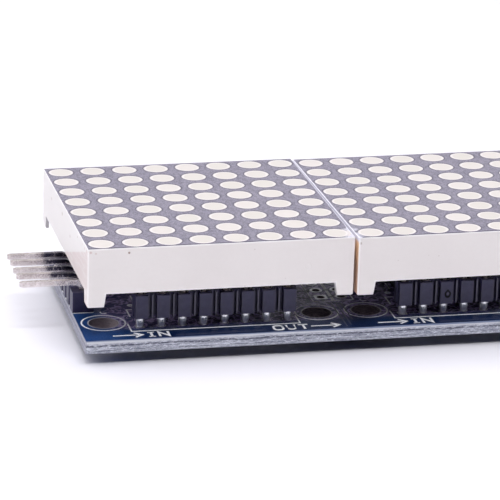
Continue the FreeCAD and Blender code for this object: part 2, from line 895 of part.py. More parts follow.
# ---------------------------------------------------------------- solder
# each joint fills its plated hole round the tail and ends in a cone under the board
round_joints = new_body("socket_joints", 0, 0, 0)
sk = new_sketch(round_joints, "socket_joint_half", "XZ_Plane", (first_x - span8, 0, D("row_offset")))
rt, rh = half(D("contact_tail_dia")), half(D("plated_dia"))
rf, rn, rise = half(D("solder_foot_dia")), half(D("solder_neck_dia")), D("solder_rise")
polygon(
    sk,
    [
        (rt, -rise),
        (rn, -rise),
        (rn + 0.1, -rise * 0.55),
        (rn + 0.28, -rise * 0.2),
        (rf, 0),
        (rh, 0),
        (rh, D("board_thick")),
        (rt, D("board_thick")),
    ],
)
f = revolve(round_joints, sk, "socket_joint")
array(
    round_joints,
    [f],
    "socket_joint_rows",
    [("X_Axis", D("pin_pitch"), D("way_count")), "XZ_Plane", ("X_Axis", D("module_pitch"), D("module_count"))],
)
square_joints = new_body("header_joints", header_x, 0, 0)
y0 = D("pin_pitch") * (D("header_ways") - 1) / 2
sk = new_sketch(square_joints, "header_joint_half", "XZ_Plane", (0, 0, y0))
rh = half(D("header_hole_dia"))
polygon(
    sk,
    [
        (0, -rise),
        (rn + 0.14, -rise),
        (rn + 0.22, -rise * 0.55),
        (rn + 0.36, -rise * 0.2),
        (rf + 0.1, 0),
        (rh, 0),
        (rh, D("board_thick")),
        (0, D("board_thick")),
    ],
)
f = revolve(square_joints, sk, "header_joint")
sk = new_sketch(square_joints, "header_joint_hole", shift=(0, 0, -2))
rectangle(sk, -p, -y0 - p, p, -y0 + p)
g = pocket(square_joints, sk, "header_joint_cut", 5, up=True)
in_line(square_joints, [f, g], "header_joint_row", "Y_Axis", D("pin_pitch"), D("header_ways"))
joints = doc.addObject("Part::Compound", "solder_joints")
joints.Links = [round_joints, square_joints]
keep(joints, "solder_joints")

# ---------------------------------------------------------------- checks and files
doc.recompute()
for obj in doc.Objects:
    bad = [s for s in obj.State if s in ("Invalid", "Error")]
    if bad:
        raise RuntimeError("%s is %s" % (obj.Label, bad))
for obj, label in SUB_PARTS:
    shape = obj.Shape
    if shape.isNull() or not shape.isValid() or not shape.Solids:
        raise RuntimeError("%s has no valid shape" % label)
for k in (1, 2, 3, 4):
    body = doc.getObject("display_%d_housing" % k)
    assert abs(math.degrees(body.Placement.Rotation.Angle) - D("display_turn_%d" % k).value) < 1e-6, "turn"
    assert abs(body.Placement.Base.x - (module_x(k) + D("display_shift_%d" % k)).value) < 1e-6, "shift"
    if k > 1:  # neighbours stand clear of each other
        assert body.Shape.distToShape(doc.getObject("display_%d_housing" % (k - 1)).Shape)[0] > 0.05, "gap"
assert len(SUB_PARTS) <= 60 and len(set(l for _, l in SUB_PARTS)) == len(SUB_PARTS)

os.makedirs("parts", exist_ok=True)
for obj, label in SUB_PARTS:
    obj.Shape.exportStep("parts/%s.step" % label)
    print("%-34s solids %3d  volume %9.3f mm3" % (label, len(obj.Shape.Solids), obj.Shape.Volume))
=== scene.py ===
import json
import math
import random

import bpy
from mathutils import Matrix, Vector, noise
from mathutils.geometry import delaunay_2d_cdt


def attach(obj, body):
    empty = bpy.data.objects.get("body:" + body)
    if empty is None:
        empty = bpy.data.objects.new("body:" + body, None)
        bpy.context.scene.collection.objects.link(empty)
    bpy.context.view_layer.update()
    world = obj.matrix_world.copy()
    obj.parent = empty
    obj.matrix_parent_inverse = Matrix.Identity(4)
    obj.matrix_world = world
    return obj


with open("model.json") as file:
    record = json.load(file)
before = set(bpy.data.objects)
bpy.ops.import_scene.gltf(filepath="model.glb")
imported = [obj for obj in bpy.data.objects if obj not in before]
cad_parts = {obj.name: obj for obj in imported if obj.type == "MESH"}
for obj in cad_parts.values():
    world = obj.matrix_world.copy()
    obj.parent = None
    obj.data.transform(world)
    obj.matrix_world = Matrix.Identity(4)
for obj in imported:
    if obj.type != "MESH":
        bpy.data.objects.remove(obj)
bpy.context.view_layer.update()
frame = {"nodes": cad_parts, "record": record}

MM = 0.001
BOARD_TOP = 1.6  # millimetres, as in all tables below
FACE_TOP = 12.8
HALF_FACE = 15.9
PITCH = 32.0
CENTRES = [-48.0, -16.0, 16.0, 48.0]
TURN = [math.radians(a) for a in (0.45, 0.93, 0.6, 0.3)]  # each display sits a little turned
SHIFT = [-0.13, -0.08, 0.0, 0.03]  # and a little along the board
HOLE_X, HOLE_Y = 12.95, 10.2
PIN = 2.54
ROW_Y = 12.0
FLOOR = -1.5


# ---------------------------------------------------------------- camera, floor and light
def build_stage():
    cam = bpy.data.cameras.new("camera")
    cam.sensor_width = 36.0
    cam.lens = 212.61
    cam.clip_start, cam.clip_end = 0.01, 10.0
    obj = bpy.data.objects.new("camera", cam)
    bpy.context.scene.collection.objects.link(obj)
    rx, ry, rz = 1.9054, -0.2164, -0.0454
    to_view = Matrix.Rotation(rz, 3, "Z") @ Matrix.Rotation(ry, 3, "Y") @ Matrix.Rotation(rx, 3, "X")
    turn = Matrix((to_view[0], -to_view[1], -to_view[2])).transposed()
    obj.matrix_world = Matrix.Translation((-0.118505, -0.332664, 0.1220)) @ turn.to_4x4()
    bpy.context.scene.camera = obj

    mesh = bpy.data.meshes.new("floor")
    s, n = 1.6, 8
    verts = [(-s + 2 * s * i / n, -s + 2 * s * j / n, FLOOR * MM) for j in range(n + 1) for i in range(n + 1)]
    faces = [(j * (n + 1) + i, j * (n + 1) + i + 1, (j + 1) * (n + 1) + i + 1, (j + 1) * (n + 1) + i)
             for j in range(n) for i in range(n)]
    mesh.from_pydata(verts, [], faces)
    floor = bpy.data.objects.new("floor", mesh)
    bpy.context.scene.collection.objects.link(floor)

    world = bpy.data.worlds.new("studio")
    bpy.context.scene.world = world
    world.use_nodes = True
    back = world.node_tree.nodes["Background"]
    back.inputs[0].default_value = (0.89, 0.85, 1.0, 1.0)
    back.inputs[1].default_value = 0.10

    def softbox(name, place, aim, size, power, colour=(1, 1, 1)):
        data = bpy.data.lights.new(name, "AREA")
        data.shape = "RECTANGLE"
        data.size, data.size_y = size
        data.energy = power
        data.color = colour
        lamp = bpy.data.objects.new(name, data)
        bpy.context.scene.collection.objects.link(lamp)
        lamp.location = place
        lamp.rotation_mode = "QUATERNION"
        lamp.rotation_quaternion = (Vector(aim) - Vector(place)).to_track_quat("-Z", "Y")

    softbox("over", (0.02, 0.22, 0.62), (0.02, 0.2201, 0), (1.1, 0.8), 4.4)
    softbox("key", (-0.60, 0.05, 0.40), (-0.03, 0, 0), (0.35, 0.5), 1.6, (1.0, 0.99, 0.98))
    softbox("fill", (-0.05, -0.38, 0.66), (-0.02, 0, 0), (0.5, 0.2), 3.5)
    softbox("backdrop", (0.0, 0.90, 0.30), (0.0, 0.0, 0.0), (1.6, 0.6), 2.3)
    return floor


floor = build_stage()
bpy.context.scene.view_settings.view_transform = "Standard"
bpy.context.scene.view_settings.look = "None"


# ---------------------------------------------------------------- material helpers
class Tree:
    """A procedural material; positions are the object's own, in millimetres.

    With display set, xyz and spot use that display's own axes: from its middle, turned as it is.
    """

    def __init__(self, name, display=None):
        self.display = display
        self.mat = bpy.data.materials.new(name)
        self.mat.use_nodes = True
        self.nodes, self.links = self.mat.node_tree.nodes, self.mat.node_tree.links
        self.nodes.clear()
        out = self.nodes.new("ShaderNodeOutputMaterial")
        self.shader = self.nodes.new("ShaderNodeBsdfPrincipled")
        self.links.new(self.shader.outputs[0], out.inputs[0])
        self._mm = None
        self._own = None
        self._xyz = None
        self._nor = None

    def put(self, socket, value):
        if isinstance(value, bpy.types.NodeSocket):
            self.links.new(value, socket)
        else:
            socket.default_value = value

    def node(self, kind, inputs=None, **props):
        n = self.nodes.new(kind)
        for k, v in props.items():
            setattr(n, k, v)
        for k, v in (inputs or {}).items():
            self.put(n.inputs[k], v)
        return n

    def set(self, **inputs):
        for k, v in inputs.items():
            self.put(self.shader.inputs[k.replace("_", " ")], v)

    @property
    def mm(self):
        if self._mm is None:
            c = self.node("ShaderNodeTexCoord")
            self._mm = self.node("ShaderNodeVectorMath", {0: c.outputs["Object"], "Scale": 1000.0}, operation="SCALE").outputs[0]
        return self._mm

    @property
    def own(self):
        if self.display is None:
            return self.mm
        if self._own is None:
            cx, a = CENTRES[self.display - 1] + SHIFT[self.display - 1], TURN[self.display - 1]
            self._own = self.node("ShaderNodeMapping", {"Vector": self.mm, "Rotation": (0, 0, -a),
                                                        "Location": (-cx * math.cos(a), cx * math.sin(a), 0)}).outputs[0]
        return self._own

    @property
    def xyz(self):
        if self._xyz is None:
            self._xyz = self.node("ShaderNodeSeparateXYZ", {0: self.own}).outputs
        return self._xyz

    @property
    def normal(self):
        if self._nor is None:
            g = self.node("ShaderNodeNewGeometry")
            self._nor = self.node("ShaderNodeSeparateXYZ", {0: g.outputs["True Normal"]}).outputs
        return self._nor

    def math(self, op, a, b=0.0, c=0.0, clamp=False):
        n = self.node("ShaderNodeMath", operation=op, use_clamp=clamp)
        for i, v in enumerate((a, b, c)):
            if i < len(n.inputs):
                self.put(n.inputs[i], v)
        return n.outputs[0]

    def add(self, a, b):
        return self.math("ADD", a, b)

    def sub(self, a, b):
        return self.math("SUBTRACT", a, b)

    def mul(self, a, b):
        return self.math("MULTIPLY", a, b)

    def step(self, v, a, b, low=0.0, high=1.0):
        """low below a, high above b, smooth between; a may be above b."""
        n = self.node("ShaderNodeMapRange", {"Value": v, "From Min": a, "From Max": b, "To Min": low, "To Max": high},
                      interpolation_type="SMOOTHSTEP", clamp=True)
        return n.outputs[0]

    def mix(self, f, a, b, mode="MIX"):
        n = self.node("ShaderNodeMix", data_type="RGBA", blend_type=mode, clamp_factor=True)
        self.put(n.inputs[0], f)
        for i, v in ((6, a), (7, b)):
            self.put(n.inputs[i], (*v, 1.0) if isinstance(v, tuple) and len(v) == 3 else v)
        return n.outputs[2]

    def stretch(self, scale, shift=(0, 0, 0)):
        return self.node("ShaderNodeMapping", {"Vector": self.mm, "Scale": scale, "Location": shift}).outputs[0]

    def noise(self, scale, detail=3.0, rough=0.55, distort=0.0, vec=None):
        n = self.node("ShaderNodeTexNoise", {"Vector": vec if vec is not None else self.mm, "Scale": scale, "Detail": detail,
                                              "Roughness": rough, "Distortion": distort})
        return n.outputs[0]

    def cells(self, scale, vec=None, feature="F1", rand=1.0):
        n = self.node("ShaderNodeTexVoronoi", {"Vector": vec if vec is not None else self.mm, "Scale": scale, "Randomness": rand},
                      feature=feature)
        return n.outputs[0]

    def wave(self, scale, distort, detail, axis="X", vec=None):
        n = self.node("ShaderNodeTexWave", {"Vector": vec if vec is not None else self.mm, "Scale": scale, "Distortion": distort,
                                             "Detail": detail, "Detail Scale": 1.5}, bands_direction=axis)
        return n.outputs[1]

    def spot(self, place, radius, soft=0.35):
        """1 inside a small patch round a point, with a broken edge."""
        d = self.node("ShaderNodeVectorMath", {0: self.own, 1: place}, operation="DISTANCE").outputs["Value"]
        d = self.add(d, self.mul(self.sub(self.noise(3.0 / radius, 2.0), 0.5), radius * 0.9))
        return self.step(d, radius * (1 + soft), radius * (1 - soft))

    def bump(self, height, distance, strength=1.0, normal=None):
        """distance is the height of a full step, in millimetres."""
        n = self.node("ShaderNodeBump", {"Height": height, "Strength": strength, "Distance": distance * MM})
        if normal is not None:
            self.put(n.inputs["Normal"], normal)
        return n.outputs[0]


# ---------------------------------------------------------------- materials
def housing_material(k):
    """Moulded off-white plastic: fine grain, faint flow, a few specks, an orange painted glow in the slits between
    displays, and painted highlights and shade on its walls and edges.
    """
    t = Tree("white_housing_%d" % k, k)
    x, y, z = t.xyz[0], t.xyz[1], t.xyz[2]
    cloud = t.noise(0.11, 3.0, 0.5)
    fine = t.noise(2.2, 4.0, 0.6)
    base = t.mix(t.step(cloud, 0.3, 0.7), (0.838, 0.794, 0.780), (0.864, 0.822, 0.806))
    base = t.mix(t.step(fine, 0.35, 0.75, 0.0, 0.16), base, (0.795, 0.750, 0.738))
    # side walls painted a little paler than the front and back: painted light
    ax, ay = t.math("ABSOLUTE", x), t.math("ABSOLUTE", y)
    side = t.step(ax, 15.70, 15.88)
    base = t.mix(t.mul(side, 0.6), base, (0.892, 0.868, 0.862))
    # the eased edges and top rim painted paler: a painted rim highlight
    corner = t.mul(t.step(ax, 13.75, 13.95), t.step(ay, 13.75, 13.95))
    wall_edge = t.mul(t.step(z, 7.52, 7.38), t.math("SUBTRACT", 1.0, corner))
    foot_edge = t.step(z, 5.86, 5.73)
    rim_highlight = t.math("MAXIMUM", t.math("MAXIMUM", wall_edge, foot_edge), t.step(z, 12.66, 12.76))
    base = t.mix(t.mul(rim_highlight, t.add(0.45, t.mul(t.noise(1.7, 3.0), 0.5))), base, (0.93, 0.905, 0.915))
    # bare plastic on the top face: round the dots, and where the ink is gone
    dx = t.sub(t.math("MODULO", t.add(x, 80.0), 4.0), 2.0)
    dy = t.sub(t.math("MODULO", t.add(y, 80.0), 4.0), 2.0)
    dr = t.math("SQRT", t.add(t.mul(dx, dx), t.mul(dy, dy)))
    top = t.mul(t.step(z, 12.72, 12.79), t.step(t.math("MAXIMUM", ax, ay), 15.86, 15.80))
    bare = t.mix(t.step(dr, 1.75, 1.95), (0.675, 0.630, 0.638), t.mix(t.step(t.noise(2.6, 4.0, 0.7), 0.4, 0.6), (0.50, 0.485, 0.60), (0.66, 0.645, 0.755)))
    base = t.mix(top, base, bare)
    # walls that face a neighbour painted lilac-pale near the top: a painted highlight that lifts the deep gap between
    # displays
    outer = {1: t.math("GREATER_THAN", x, 0.0), 4: t.math("LESS_THAN", x, 0.0)}.get(k, 1.0)
    base = t.mix(t.mul(t.mul(t.mul(side, t.step(z, 10.8, 12.2)), outer), 0.8), base, (0.86, 0.85, 0.97))
    # the outer wall of the first display painted duller and pinker below a slanting line near its front corner: painted
    # shade where less light reaches, broken up by noise
    if k == 1:
        line = t.add(t.add(z, t.mul(t.add(y, 15.9), 0.338)), t.mul(t.sub(t.noise(0.8, 3.0), 0.5), 0.25))
        corner_shade = t.mul(t.mul(side, t.math("LESS_THAN", x, 0.0)), t.step(line, 12.72, 12.45))
        shade_breakup = t.step(t.noise(1.5, 4.0, 0.65, vec=t.stretch((0.3, 0.22, 1.7))), 0.46, 0.62, 0.95, 0.55)
        base = t.mix(t.mul(corner_shade, shade_breakup), base, (0.765, 0.672, 0.660))
    # sparse pores and dust
    grain = t.cells(0.62)
    pore = t.mul(t.step(grain, 0.075, 0.035), t.step(t.noise(0.3, 2.0), 0.53, 0.62))
    base = t.mix(t.mul(pore, 0.4), base, (0.46, 0.40, 0.37))
    # the marks that the photographed display has, and a few on the others
    marks = {
        1: (((-11.06, -15.9, 12.22), 0.13, (0.24, 0.13, 0.08), 0.8), ((-15.9, 9.4, 10.95), 0.2, (0.45, 0.36, 0.30), 0.6),
            ((-15.9, 1.7, 11.5), 0.22, (0.42, 0.34, 0.25), 0.7), ((-15.9, -3.9, 10.5), 0.2, (0.46, 0.37, 0.33), 0.6),
            ((-15.9, -9.0, 12.1), 0.13, (0.42, 0.36, 0.28), 0.6),
            ((3.8, -15.9, 11.9), 0.08, (0.5, 0.43, 0.4), 0.4), ((-15.55, -15.9, 12.45), 0.15, (0.62, 0.45, 0.42), 0.6),
            ((-14.95, -15.9, 12.3), 0.12, (0.66, 0.52, 0.48), 0.5), ((-15.9, -15.1, 12.4), 0.2, (0.58, 0.42, 0.38), 0.6),
            ((-15.9, -13.7, 12.25), 0.2, (0.64, 0.48, 0.45), 0.5), ((-15.9, -12.2, 12.3), 0.16, (0.62, 0.52, 0.40), 0.5)),
        2: (((-15.72, -15.85, 12.15), 0.16, (0.30, 0.22, 0.16), 0.5), ((9.0, 15.9, 10.6), 0.12, (0.4, 0.33, 0.28), 0.5)),
        3: (((6.5, -15.9, 11.6), 0.12, (0.4, 0.33, 0.28), 0.5),),
        4: (((3.0, -15.9, 8.7), 0.1, (0.4, 0.33, 0.28), 0.5), ((15.9, 4.3, 9.4), 0.14, (0.4, 0.33, 0.28), 0.5)),
    }
    for place, radius, colour, amount in marks[k]:
        base = t.mix(t.mul(t.spot(place, radius), amount), base, colour)
    # orange-brown tint on the walls that face a neighbour, at the front: a painted glow of light through the plastic,
    # paler towards the top, and paler on the right-hand wall to lift its deep shade
    slit = t.step(ax, 15.83, 15.885)
    if k == 1:
        slit = t.mul(slit, t.math("GREATER_THAN", x, 0.0))
    if k == 4:
        slit = t.mul(slit, t.math("LESS_THAN", x, 0.0))
    slit = t.mul(t.mul(slit, t.step(y, -13.2, -15.0)), t.step(z, 12.45, 12.0))
    slit_glow = t.mix(t.step(z, 8.2, 12.0), (0.66, 0.43, 0.31), (1.0, 0.68, 0.42))
    slit_glow = t.mix(t.math("GREATER_THAN", x, 0.0), slit_glow, (0.95, 0.86, 0.76))
    base = t.mix(t.mul(slit, t.add(0.82, t.mul(t.noise(1.3), 0.3))), base, slit_glow)
    # the upright front corners painted bright: a painted highlight on their rounded edges
    corner_highlight = t.mul(t.step(t.add(ax, ay), 31.60, 31.66), t.mul(t.step(z, 12.6, 12.4), t.math("LESS_THAN", y, 0.0)))
    base = t.mix(t.mul(corner_highlight, 0.8), base, (0.97, 0.94, 0.935))
    t.set(Base_Color=base)
    rough = t.add(t.mul(fine, 0.16), 0.36)
    rough = t.add(rough, t.mul(t.noise(0.35, 2.0), 0.06))
    t.set(Roughness=rough)
    t.shader.inputs["Specular IOR Level"].default_value = 0.42
    # grain, faint flow lines and the ring that an ejector left on the front wall
    height = t.add(t.mul(t.noise(7.0, 3.0, 0.6), 0.55), t.mul(t.noise(0.8, 2.0), 0.9))
    cx = t.sub(x, 10.27)
    r = t.math("SQRT", t.add(t.mul(cx, cx), t.mul(t.sub(z, 9.52), t.sub(z, 9.52))))
    ring = t.mul(t.step(t.math("ABSOLUTE", t.sub(r, 0.36)), 0.14, 0.02), t.math("LESS_THAN", y, -15.8))
    height = t.sub(height, t.mul(ring, 1.4))
    t.set(Normal=t.bump(height, 0.011))
    return t.mat


def ink_material(k):
    """Printed grey-violet ink: mottled, fine-grained, darker where it ends round a dot."""
    t = Tree("printed_ink_%d" % k, k)
    x, y = t.xyz[0], t.xyz[1]
    cloud = t.noise(0.35, 4.0, 0.6)
    mottle = t.noise(2.3, 5.0, 0.8, vec=t.stretch((1.25, 0.8, 1.0)))
    speck = t.noise(7.5, 2.0, 0.6)
    base = t.mix(t.step(mottle, 0.41, 0.59), (0.137, 0.126, 0.178), (0.276, 0.256, 0.332))
    base = t.mix(t.step(speck, 0.48, 0.66, 0.0, 0.55), base, (0.36, 0.345, 0.42))
    base = t.mix(t.step(speck, 0.46, 0.32, 0.0, 0.5), base, (0.09, 0.084, 0.12))
    base = t.mix(t.step(cloud, 0.3, 0.75, 0.0, 0.3), base, (0.255, 0.235, 0.295))
    dx = t.sub(t.math("MODULO", t.add(x, 80.0), 4.0), 2.0)
    dy = t.sub(t.math("MODULO", t.add(y, 80.0), 4.0), 2.0)
    r = t.math("SQRT", t.add(t.mul(dx, dx), t.mul(dy, dy)))
    edge = t.step(r, 1.79, 1.56)
    base = t.mix(t.mul(edge, 0.78), base, (0.070, 0.062, 0.104))
    front = t.step(y, -15.42, -15.56)
    base = t.mix(t.mul(front, 0.85), base, (0.060, 0.052, 0.09))
    if k == 1:  # thinned ink round the scraped corner
        near = t.math("MAXIMUM", t.spot((15.2, -15.0, 12.8), 0.95, 0.5), t.spot((15.55, -13.1, 12.8), 0.55, 0.5))
        worn = t.mul(near, t.step(t.noise(2.4, 4.0, 0.7), 0.36, 0.60, 0.35, 0.95))
        base = t.mix(worn, base, (0.62, 0.60, 0.68))
    if k == 2:  # and a paler streak along its neighbour's edge
        near = t.math("MAXIMUM", t.spot((-15.6, -14.6, 12.8), 0.8, 0.6), t.spot((-15.7, -12.6, 12.8), 0.5, 0.6))
        worn = t.mul(near, t.step(t.noise(2.4, 4.0, 0.7), 0.34, 0.58, 0.3, 0.9))
        base = t.mix(worn, base, (0.60, 0.58, 0.68))
    # scuffs and lint
    scuff = t.mul(t.step(t.noise(0.9, 6.0, 0.75, 0.6), 0.635, 0.70), 0.35)
    base = t.mix(scuff, base, (0.42, 0.40, 0.47))
    lint = {1: (((-10.0, -2.9, 12.8), 0.1), ((-1.3, -9.8, 12.8), 0.09)), 2: (((-5.5, -12.6, 12.8), 0.09),),
            3: (((4.3, 3.9, 12.8), 0.09),), 4: (((-8.2, 8.1, 12.8), 0.1),)}
    for place, radius in lint[k]:
        base = t.mix(t.mul(t.spot(place, radius), 0.8), base, (0.10, 0.08, 0.10))
    t.set(Base_Color=base)
    t.set(Roughness=t.add(t.mul(mottle, 0.2), 0.44))
    t.shader.inputs["Specular IOR Level"].default_value = 0.35
    t.set(Normal=t.bump(t.add(t.mul(t.noise(9.0, 3.0, 0.65), 0.7), t.mul(mottle, 0.5)), 0.009))
    return t.mat


def resin_material(k):
    """Milky cast resin: each dot differs a little in tint, with faint clouds and a satin skin."""
    t = Tree("cast_resin_%d" % k, k)
    x, y, z = t.xyz[0], t.xyz[1], t.xyz[2]
    cell = t.node("ShaderNodeCombineXYZ", {0: t.math("FLOOR", t.mul(x, 0.25)), 1: t.math("FLOOR", t.mul(y, 0.25)), 2: float(k)}).outputs[0]
    rnd = t.node("ShaderNodeTexWhiteNoise", {"Vector": cell}, noise_dimensions="3D").outputs
    base = t.mix(rnd[0], (0.628, 0.592, 0.560), (0.668, 0.618, 0.606))
    cloud = t.noise(1.1, 4.0, 0.6)
    base = t.mix(t.step(cloud, 0.38, 0.72, 0.0, 0.45), base, (0.628, 0.588, 0.562))
    # paler towards the rim of its well, where the plastic shines through
    dx = t.sub(t.math("MODULO", t.add(x, 80.0), 4.0), 2.0)
    dy = t.sub(t.math("MODULO", t.add(y, 80.0), 4.0), 2.0)
    r = t.math("SQRT", t.add(t.mul(dx, dx), t.mul(dy, dy)))
    base = t.mix(t.mul(t.step(t.add(r, t.mul(t.sub(cloud, 0.5), 0.2)), 1.10, 1.36), 0.75), base, (0.78, 0.735, 0.745))
    # the pour on the back is duller and yellower
    back = t.step(z, 9.6, 9.0)
    base = t.mix(t.mul(back, 0.8), base, (0.60, 0.575, 0.55))
    t.set(Base_Color=base)
    t.set(Roughness=t.add(t.mul(t.noise(3.0, 3.0), 0.16), 0.30))
    t.shader.inputs["Specular IOR Level"].default_value = 0.4
    t.set(Normal=t.bump(t.add(t.mul(cloud, 0.9), t.mul(t.noise(6.0, 2.0), 0.35)), 0.012))
    return t.mat


def board_material():
    """Blue solder mask over laminate: mask on the flat faces, glass layers on the sawn edges, brown bore walls."""
    t = Tree("board_laminate")
    x, y, z = t.xyz[0], t.xyz[1], t.xyz[2]
    flat = t.step(t.math("ABSOLUTE", t.normal[2]), 0.6, 0.9)
    # mask over copper and over bare laminate
    weave = t.mul(t.wave(2.6, 0.6, 1.0, "X"), t.wave(2.6, 0.6, 1.0, "Y"))
    cloud = t.noise(0.22, 3.0, 0.55)
    mask = t.mix(t.step(cloud, 0.35, 0.65), (0.0004, 0.0125, 0.068), (0.0010, 0.024, 0.104))
    mask = t.mix(t.mul(weave, 0.3), mask, (0.003, 0.034, 0.12))
    mask = t.mix(t.step(t.noise(3.5, 5.0, 0.7), 0.52, 0.72, 0.0, 0.4), mask, (0.010, 0.022, 0.070))
    # painted shade and light: the mask darker across the board away from its left end, where the displays overhang it,
    # and brighter and bluer at the left end where light reaches it
    mask = t.mix(t.mul(t.step(x, -58.5, -54.0), 0.55), mask, (0.0010, 0.0045, 0.030))
    lit_west_end = t.mul(t.step(x, -58.5, -61.0), t.step(t.noise(0.7, 3.0), 0.3, 0.6, 0.55, 1.0))
    mask = t.mix(lit_west_end, mask, (0.012, 0.047, 0.170))
    # a violet-grey painted reflection under the displays, away from the free edges: the sheen of the displays'
    # undersides in the mask
    within = t.mul(t.step(t.math("ABSOLUTE", y), 13.3, 11.2), t.step(t.math("ABSOLUTE", x), 61.5, 59.0))
    under_display_sheen = t.mul(within, t.step(t.noise(1.5, 6.0, 0.75, 0.5), 0.34, 0.66, 0.15, 0.95))
    top_side = t.math("GREATER_THAN", t.normal[2], 0.0)
    mask = t.mix(t.mul(t.mul(under_display_sheen, 0.8), top_side), mask, (0.175, 0.120, 0.310))
    # pale veins painted as light caught by the track edges: painted highlights
    track_glint = t.step(t.math("ABSOLUTE", t.sub(t.noise(0.85, 2.0, 0.5, 0.8), 0.5)), 0.070, 0.025)
    mask = t.mix(t.mul(t.mul(t.mul(track_glint, within), 0.8), top_side), mask, (0.50, 0.42, 0.68))
    # the sawn edge: glass layers running along it, a dark streak at mid height
    fibre = t.noise(1.0, 6.0, 0.7, 0.3, vec=t.stretch((0.34, 0.34, 8.5)))
    tuft = t.noise(2.6, 4.0, 0.75, 0.4, vec=t.stretch((0.85, 0.85, 3.4)))
    edge = t.mix(t.step(fibre, 0.36, 0.66), (0.24, 0.25, 0.32), (0.60, 0.62, 0.70))
    edge = t.mix(t.step(tuft, 0.51, 0.62, 0.0, 0.85), edge, (0.80, 0.82, 0.89))
    edge = t.mix(t.step(tuft, 0.46, 0.36, 0.0, 0.6), edge, (0.13, 0.14, 0.19))
    wobble = t.mul(t.sub(t.noise(0.55, 5.0, 0.65), 0.5), 0.40)
    band = t.add(z, wobble)
    edge = t.mix(t.mul(t.step(band, 1.12, 1.30), t.step(z, 1.60, 1.50)), edge, (0.68, 0.69, 0.74))
    streak = t.step(t.math("ABSOLUTE", t.sub(band, 0.92)), 0.13, 0.03)
    edge = t.mix(t.mul(streak, t.step(t.noise(1.9, 3.0), 0.36, 0.56, 0.25, 0.95)), edge, (0.075, 0.075, 0.11))
    streak = t.step(t.math("ABSOLUTE", t.sub(t.add(z, t.mul(wobble, 0.7)), 0.34)), 0.10, 0.03)
    edge = t.mix(t.mul(streak, t.step(t.noise(1.1, 3.0), 0.42, 0.60, 0.0, 0.7)), edge, (0.13, 0.135, 0.18))
    rim = t.step(t.add(z, t.add(t.step(x, -46.0, -26.0, 0.0, 0.09), t.mul(wobble, 0.25))), 1.42, 1.53)
    edge = t.mix(t.mul(rim, 0.78), edge, (0.115, 0.165, 0.310))
    low = t.step(z, 0.10, 0.02)
    edge = t.mix(t.mul(low, 0.5), edge, (0.14, 0.15, 0.21))
    # the end faces painted darker and greyer: painted shade under the displays' overhang
    end_face = t.step(t.math("ABSOLUTE", x), 63.9, 63.97)
    edge = t.mix(t.mul(end_face, t.step(fibre, 0.3, 0.65, 0.85, 0.5)), edge, (0.335, 0.33, 0.40))
    # bores: brown laminate, away from the outline
    inside = t.mul(t.step(t.math("ABSOLUTE", y), 15.93, 15.85), t.step(t.math("ABSOLUTE", x), 63.93, 63.85))
    bore = t.mix(t.step(t.noise(2.0, 4.0, 0.7, vec=t.stretch((1, 1, 5))), 0.35, 0.65), (0.105, 0.084, 0.094), (0.25, 0.205, 0.22))
    # the bores at the left end painted paler: painted light where light reaches them from the left
    bore = t.mix(t.mul(t.step(x, -57.0, -58.5), 0.45), bore, (0.42, 0.36, 0.39))
    edge = t.mix(inside, edge, bore)
    # a thin bare rim where the mask stops short of each mounting hole
    hx = t.sub(t.math("ABSOLUTE", t.sub(t.math("MODULO", t.add(x, 80.0), 32.0), 16.0)), 16.0 - HOLE_X)
    hy = t.sub(t.math("ABSOLUTE", y), HOLE_Y)
    hr = t.math("SQRT", t.add(t.mul(hx, hx), t.mul(hy, hy)))
    bare = t.mul(t.step(hr, 1.96, 1.88), t.step(t.noise(1.2, 3.0), 0.25, 0.5, 0.35, 0.9))
    mask = t.mix(bare, mask, (0.42, 0.40, 0.43))
    t.set(Base_Color=t.mix(flat, edge, mask))
    rough_mask = t.add(t.mul(t.noise(1.4, 3.0), 0.16), t.step(t.normal[2], -0.2, -0.8, 0.24, 0.52))
    rough_edge = t.add(t.mul(fibre, 0.3), 0.55)
    t.set(Roughness=t.node("ShaderNodeMix", {0: flat, 2: rough_edge, 3: rough_mask}, data_type="FLOAT").outputs[0])
    t.shader.inputs["Specular IOR Level"].default_value = 0.2
    t.shader.inputs["Specular Tint"].default_value = (0.50, 0.68, 1.0, 1.0)
    skin = t.add(t.mul(weave, 0.35), t.mul(t.noise(5.0, 3.0), 0.35))
    rugged = t.add(t.mul(fibre, 3.0), t.mul(tuft, 2.5))
    height = t.node("ShaderNodeMix", {0: flat, 2: rugged, 3: skin}, data_type="FLOAT").outputs[0]
    t.set(Normal=t.bump(height, 0.022))
    return t.mat


def copper_material():
    """Tracks under the mask: a shade lighter than the board round them."""
    t = Tree("masked_track")
    c = t.mix(t.step(t.noise(1.2, 3.0), 0.35, 0.65), (0.040, 0.048, 0.092), (0.070, 0.074, 0.118))
    t.set(Base_Color=c)
    t.set(Roughness=t.add(t.mul(t.noise(2.5, 3.0), 0.14), 0.24))
    t.set(Normal=t.bump(t.noise(6.0, 3.0), 0.006))
    return t.mat


def print_material():
    """Silk-screened white legend, slightly worn and grainy."""
    t = Tree("board_print")
    n = t.noise(5.0, 4.0, 0.7)
    c = t.mix(t.step(n, 0.32, 0.62), (0.72, 0.73, 0.79), (0.965, 0.97, 0.99))
    t.set(Base_Color=c)
    t.set(Roughness=t.add(t.mul(n, 0.2), 0.45))
    t.set(Normal=t.bump(t.noise(12.0, 3.0, 0.6), 0.008))
    return t.mat


